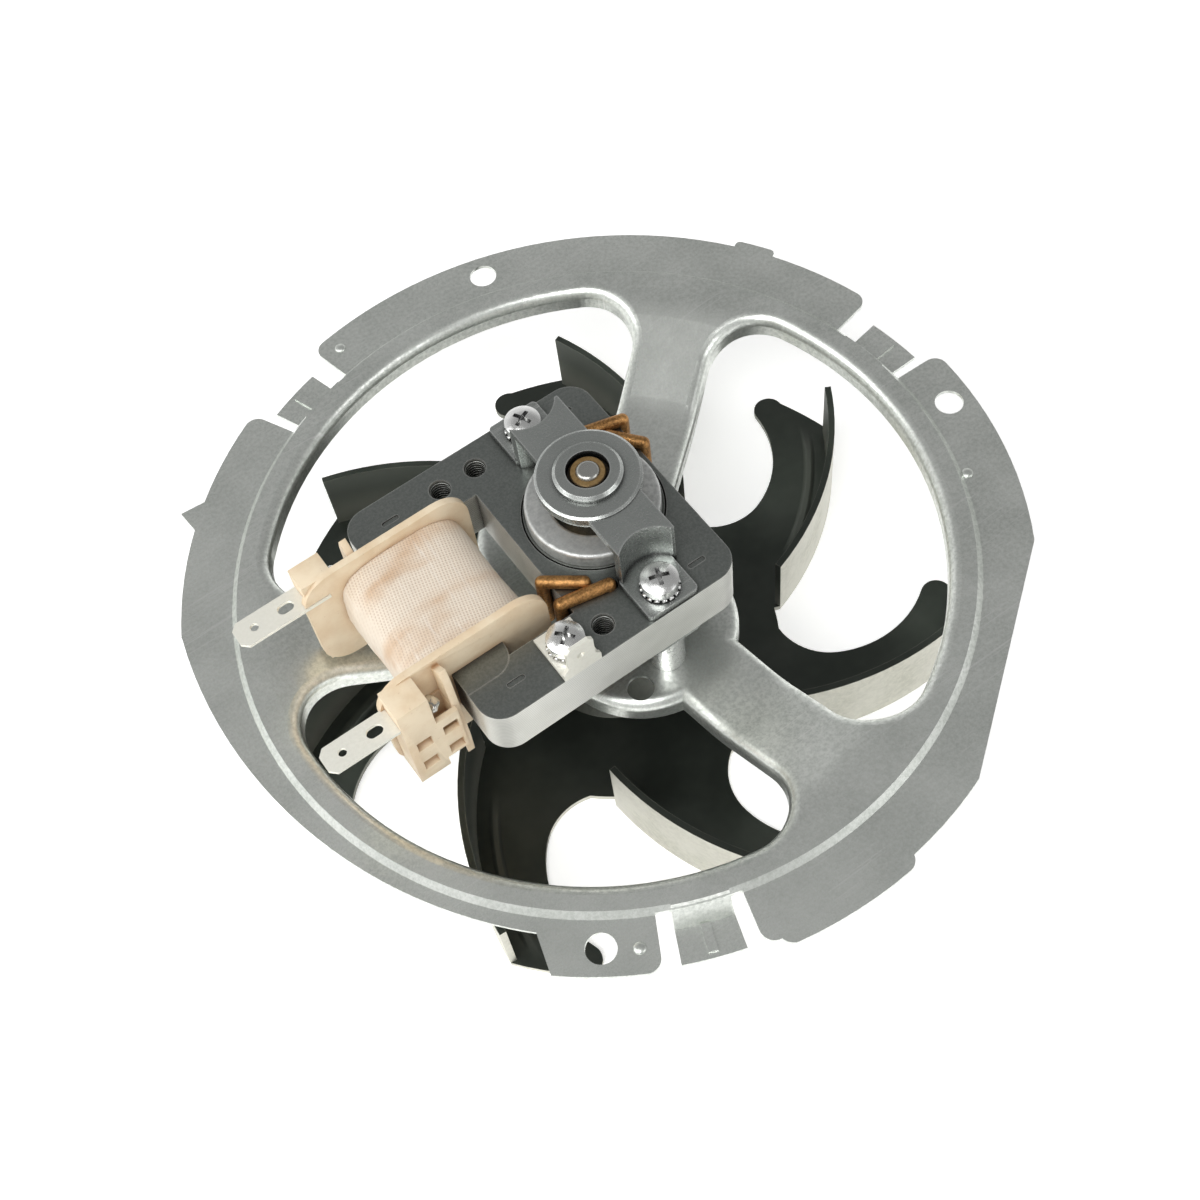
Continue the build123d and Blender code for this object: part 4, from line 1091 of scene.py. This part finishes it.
def thread_tree():
    """Turns of a screw thread: a stack of rings in each hole, one hole for each input point."""
    tree, start, end = new_tree("thread_turns", {
        "Turns": ("NodeSocketInt", 12),
        "Pitch": ("NodeSocketFloat", 0.8 * mm),
        "Hole Radius": ("NodeSocketFloat", 2.3 * mm),
        "Crest": ("NodeSocketFloat", 0.2 * mm),
        "Material": ("NodeSocketMaterial", None),
    })
    ring = swept_ring(tree, start.outputs["Hole Radius"], start.outputs["Crest"], 40, 6)
    drop = tree.nodes.new("ShaderNodeCombineXYZ")
    down = tree.nodes.new("ShaderNodeMath")
    down.operation = "MULTIPLY"
    down.inputs[1].default_value = -1.0
    link(tree, start.outputs["Pitch"], down.inputs[0])
    link(tree, down.outputs[0], drop.inputs["Z"])
    line = tree.nodes.new("GeometryNodeMeshLine")
    link(tree, start.outputs["Turns"], line.inputs["Count"])
    link(tree, drop.outputs[0], line.inputs["Offset"])
    stack = repeated(tree, line.outputs[0], ring)
    holes = repeated(tree, start.outputs["Geometry"], stack)
    finish_tree(tree, holes, start, end)
    return tree


def tooth_tree():
    """Toothed lock washers: a flat ring with twisted teeth, one for each input point."""
    tree, start, end = new_tree("toothed_washers", {
        "Teeth": ("NodeSocketInt", 12),
        "Inner Radius": ("NodeSocketFloat", 3.1 * mm),
        "Tooth Radius": ("NodeSocketFloat", 3.6 * mm),
        "Thickness": ("NodeSocketFloat", 0.45 * mm),
        "Twist": ("NodeSocketFloat", 0.5),
        "Material": ("NodeSocketMaterial", None),
    })
    ring = swept_ring(tree, start.outputs["Inner Radius"], start.outputs["Thickness"], 48, 8)
    circle = tree.nodes.new("GeometryNodeMeshCircle")
    link(tree, start.outputs["Teeth"], circle.inputs["Vertices"])
    link(tree, start.outputs["Tooth Radius"], circle.inputs["Radius"])
    tooth = tree.nodes.new("GeometryNodeMeshCube")
    tooth_size = tree.nodes.new("ShaderNodeCombineXYZ")
    tooth_size.inputs["X"].default_value = tooth_length * mm
    tooth_size.inputs["Y"].default_value = tooth_width * mm
    link(tree, start.outputs["Thickness"], tooth_size.inputs["Z"])
    link(tree, tooth_size.outputs[0], tooth.inputs["Size"])
    outward = tree.nodes.new("GeometryNodeInputPosition")
    heading = tree.nodes.new("FunctionNodeAlignRotationToVector")
    heading.axis = "X"
    link(tree, outward.outputs[0], heading.inputs["Vector"])
    twist = tree.nodes.new("FunctionNodeRotateRotation")
    twist.rotation_space = "LOCAL"
    lean = tree.nodes.new("ShaderNodeCombineXYZ")
    link(tree, start.outputs["Twist"], lean.inputs["X"])
    link(tree, heading.outputs[0], twist.inputs["Rotation"])
    link(tree, lean.outputs[0], twist.inputs["Rotate By"])
    teeth = repeated(tree, circle.outputs[0], tooth.outputs[0], twist.outputs[0])
    washer = tree.nodes.new("GeometryNodeJoinGeometry")
    link(tree, ring, washer.inputs[0])
    link(tree, teeth, washer.inputs[0])
    places = repeated(tree, start.outputs["Geometry"], washer.outputs[0])
    finish_tree(tree, places, start, end)
    return tree


def grown(name, tree, points, finish, **values):
    """Runs a geometry tree on some points and returns the plain mesh."""
    seeds = bpy.data.meshes.new(name + "_seeds")
    seeds.from_pydata(points, [], [])
    carrier = bpy.data.objects.new(name + "_carrier", seeds)
    scene.collection.objects.link(carrier)
    modifier = carrier.modifiers.new("grow", "NODES")
    modifier.node_group = tree
    values["Material"] = materials[finish]
    for item in tree.interface.items_tree:
        if item.in_out == "INPUT" and item.name in values:
            modifier[item.identifier] = values[item.name]
    bpy.context.view_layer.update()
    graph = bpy.context.evaluated_depsgraph_get()
    mesh = bpy.data.meshes.new_from_object(carrier.evaluated_get(graph))
    mesh.name = name
    carrier.modifiers.remove(modifier)
    bpy.data.objects.remove(carrier)
    mesh.shade_smooth()
    return mesh


def add_threads():
    """Threads in the three spare holes of the stack."""
    first_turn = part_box("stator_core")[1][2] - thread_start * mm
    points = [(x * mm, y * mm, first_turn) for x, y in stack_holes]
    mesh = grown("hole_threads", thread_tree(), points, "laminations", Turns=13, Pitch=0.85 * mm)
    add_piece("hole_threads", mesh, "laminations")


def add_lock_washers():
    """Toothed washers under the three screw heads, in place of the plain ones."""
    stack_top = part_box("stator_core")[1][2] / mm
    on_strap = stack_top + strap_sheet + washer_lift
    on_tab = stack_top + tab_sheet + washer_lift
    screw_x, screw_y = screw_place
    places = ((screw_x, screw_y, on_strap), (screw_x, -screw_y, on_strap), (*earth_place, on_tab))
    points = [Vector(place) * mm for place in places]
    mesh = grown("lock_washers", tooth_tree(), points, "bright_zinc", Teeth=16, Twist=0.3)
    piece = add_piece("lock_washers", mesh, "bright_zinc")
    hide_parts("screw_washers")


add_camera()
add_world()
add_floor()
for name, values in softboxes.items():
    add_softbox(name, **values)
dress_cad_nodes()
wrapped_loop("wrapped_tape", "coil_tape", "tape")
wrapped_loop("wound_wire", "coil_winding", "enamel", winding_inset)
moulded_bobbin()
pressed_pips()
copper_loops()
add_threads()
add_lock_washers()
solder_drop("solder_right", -1)
solder_drop("solder_left", 1)
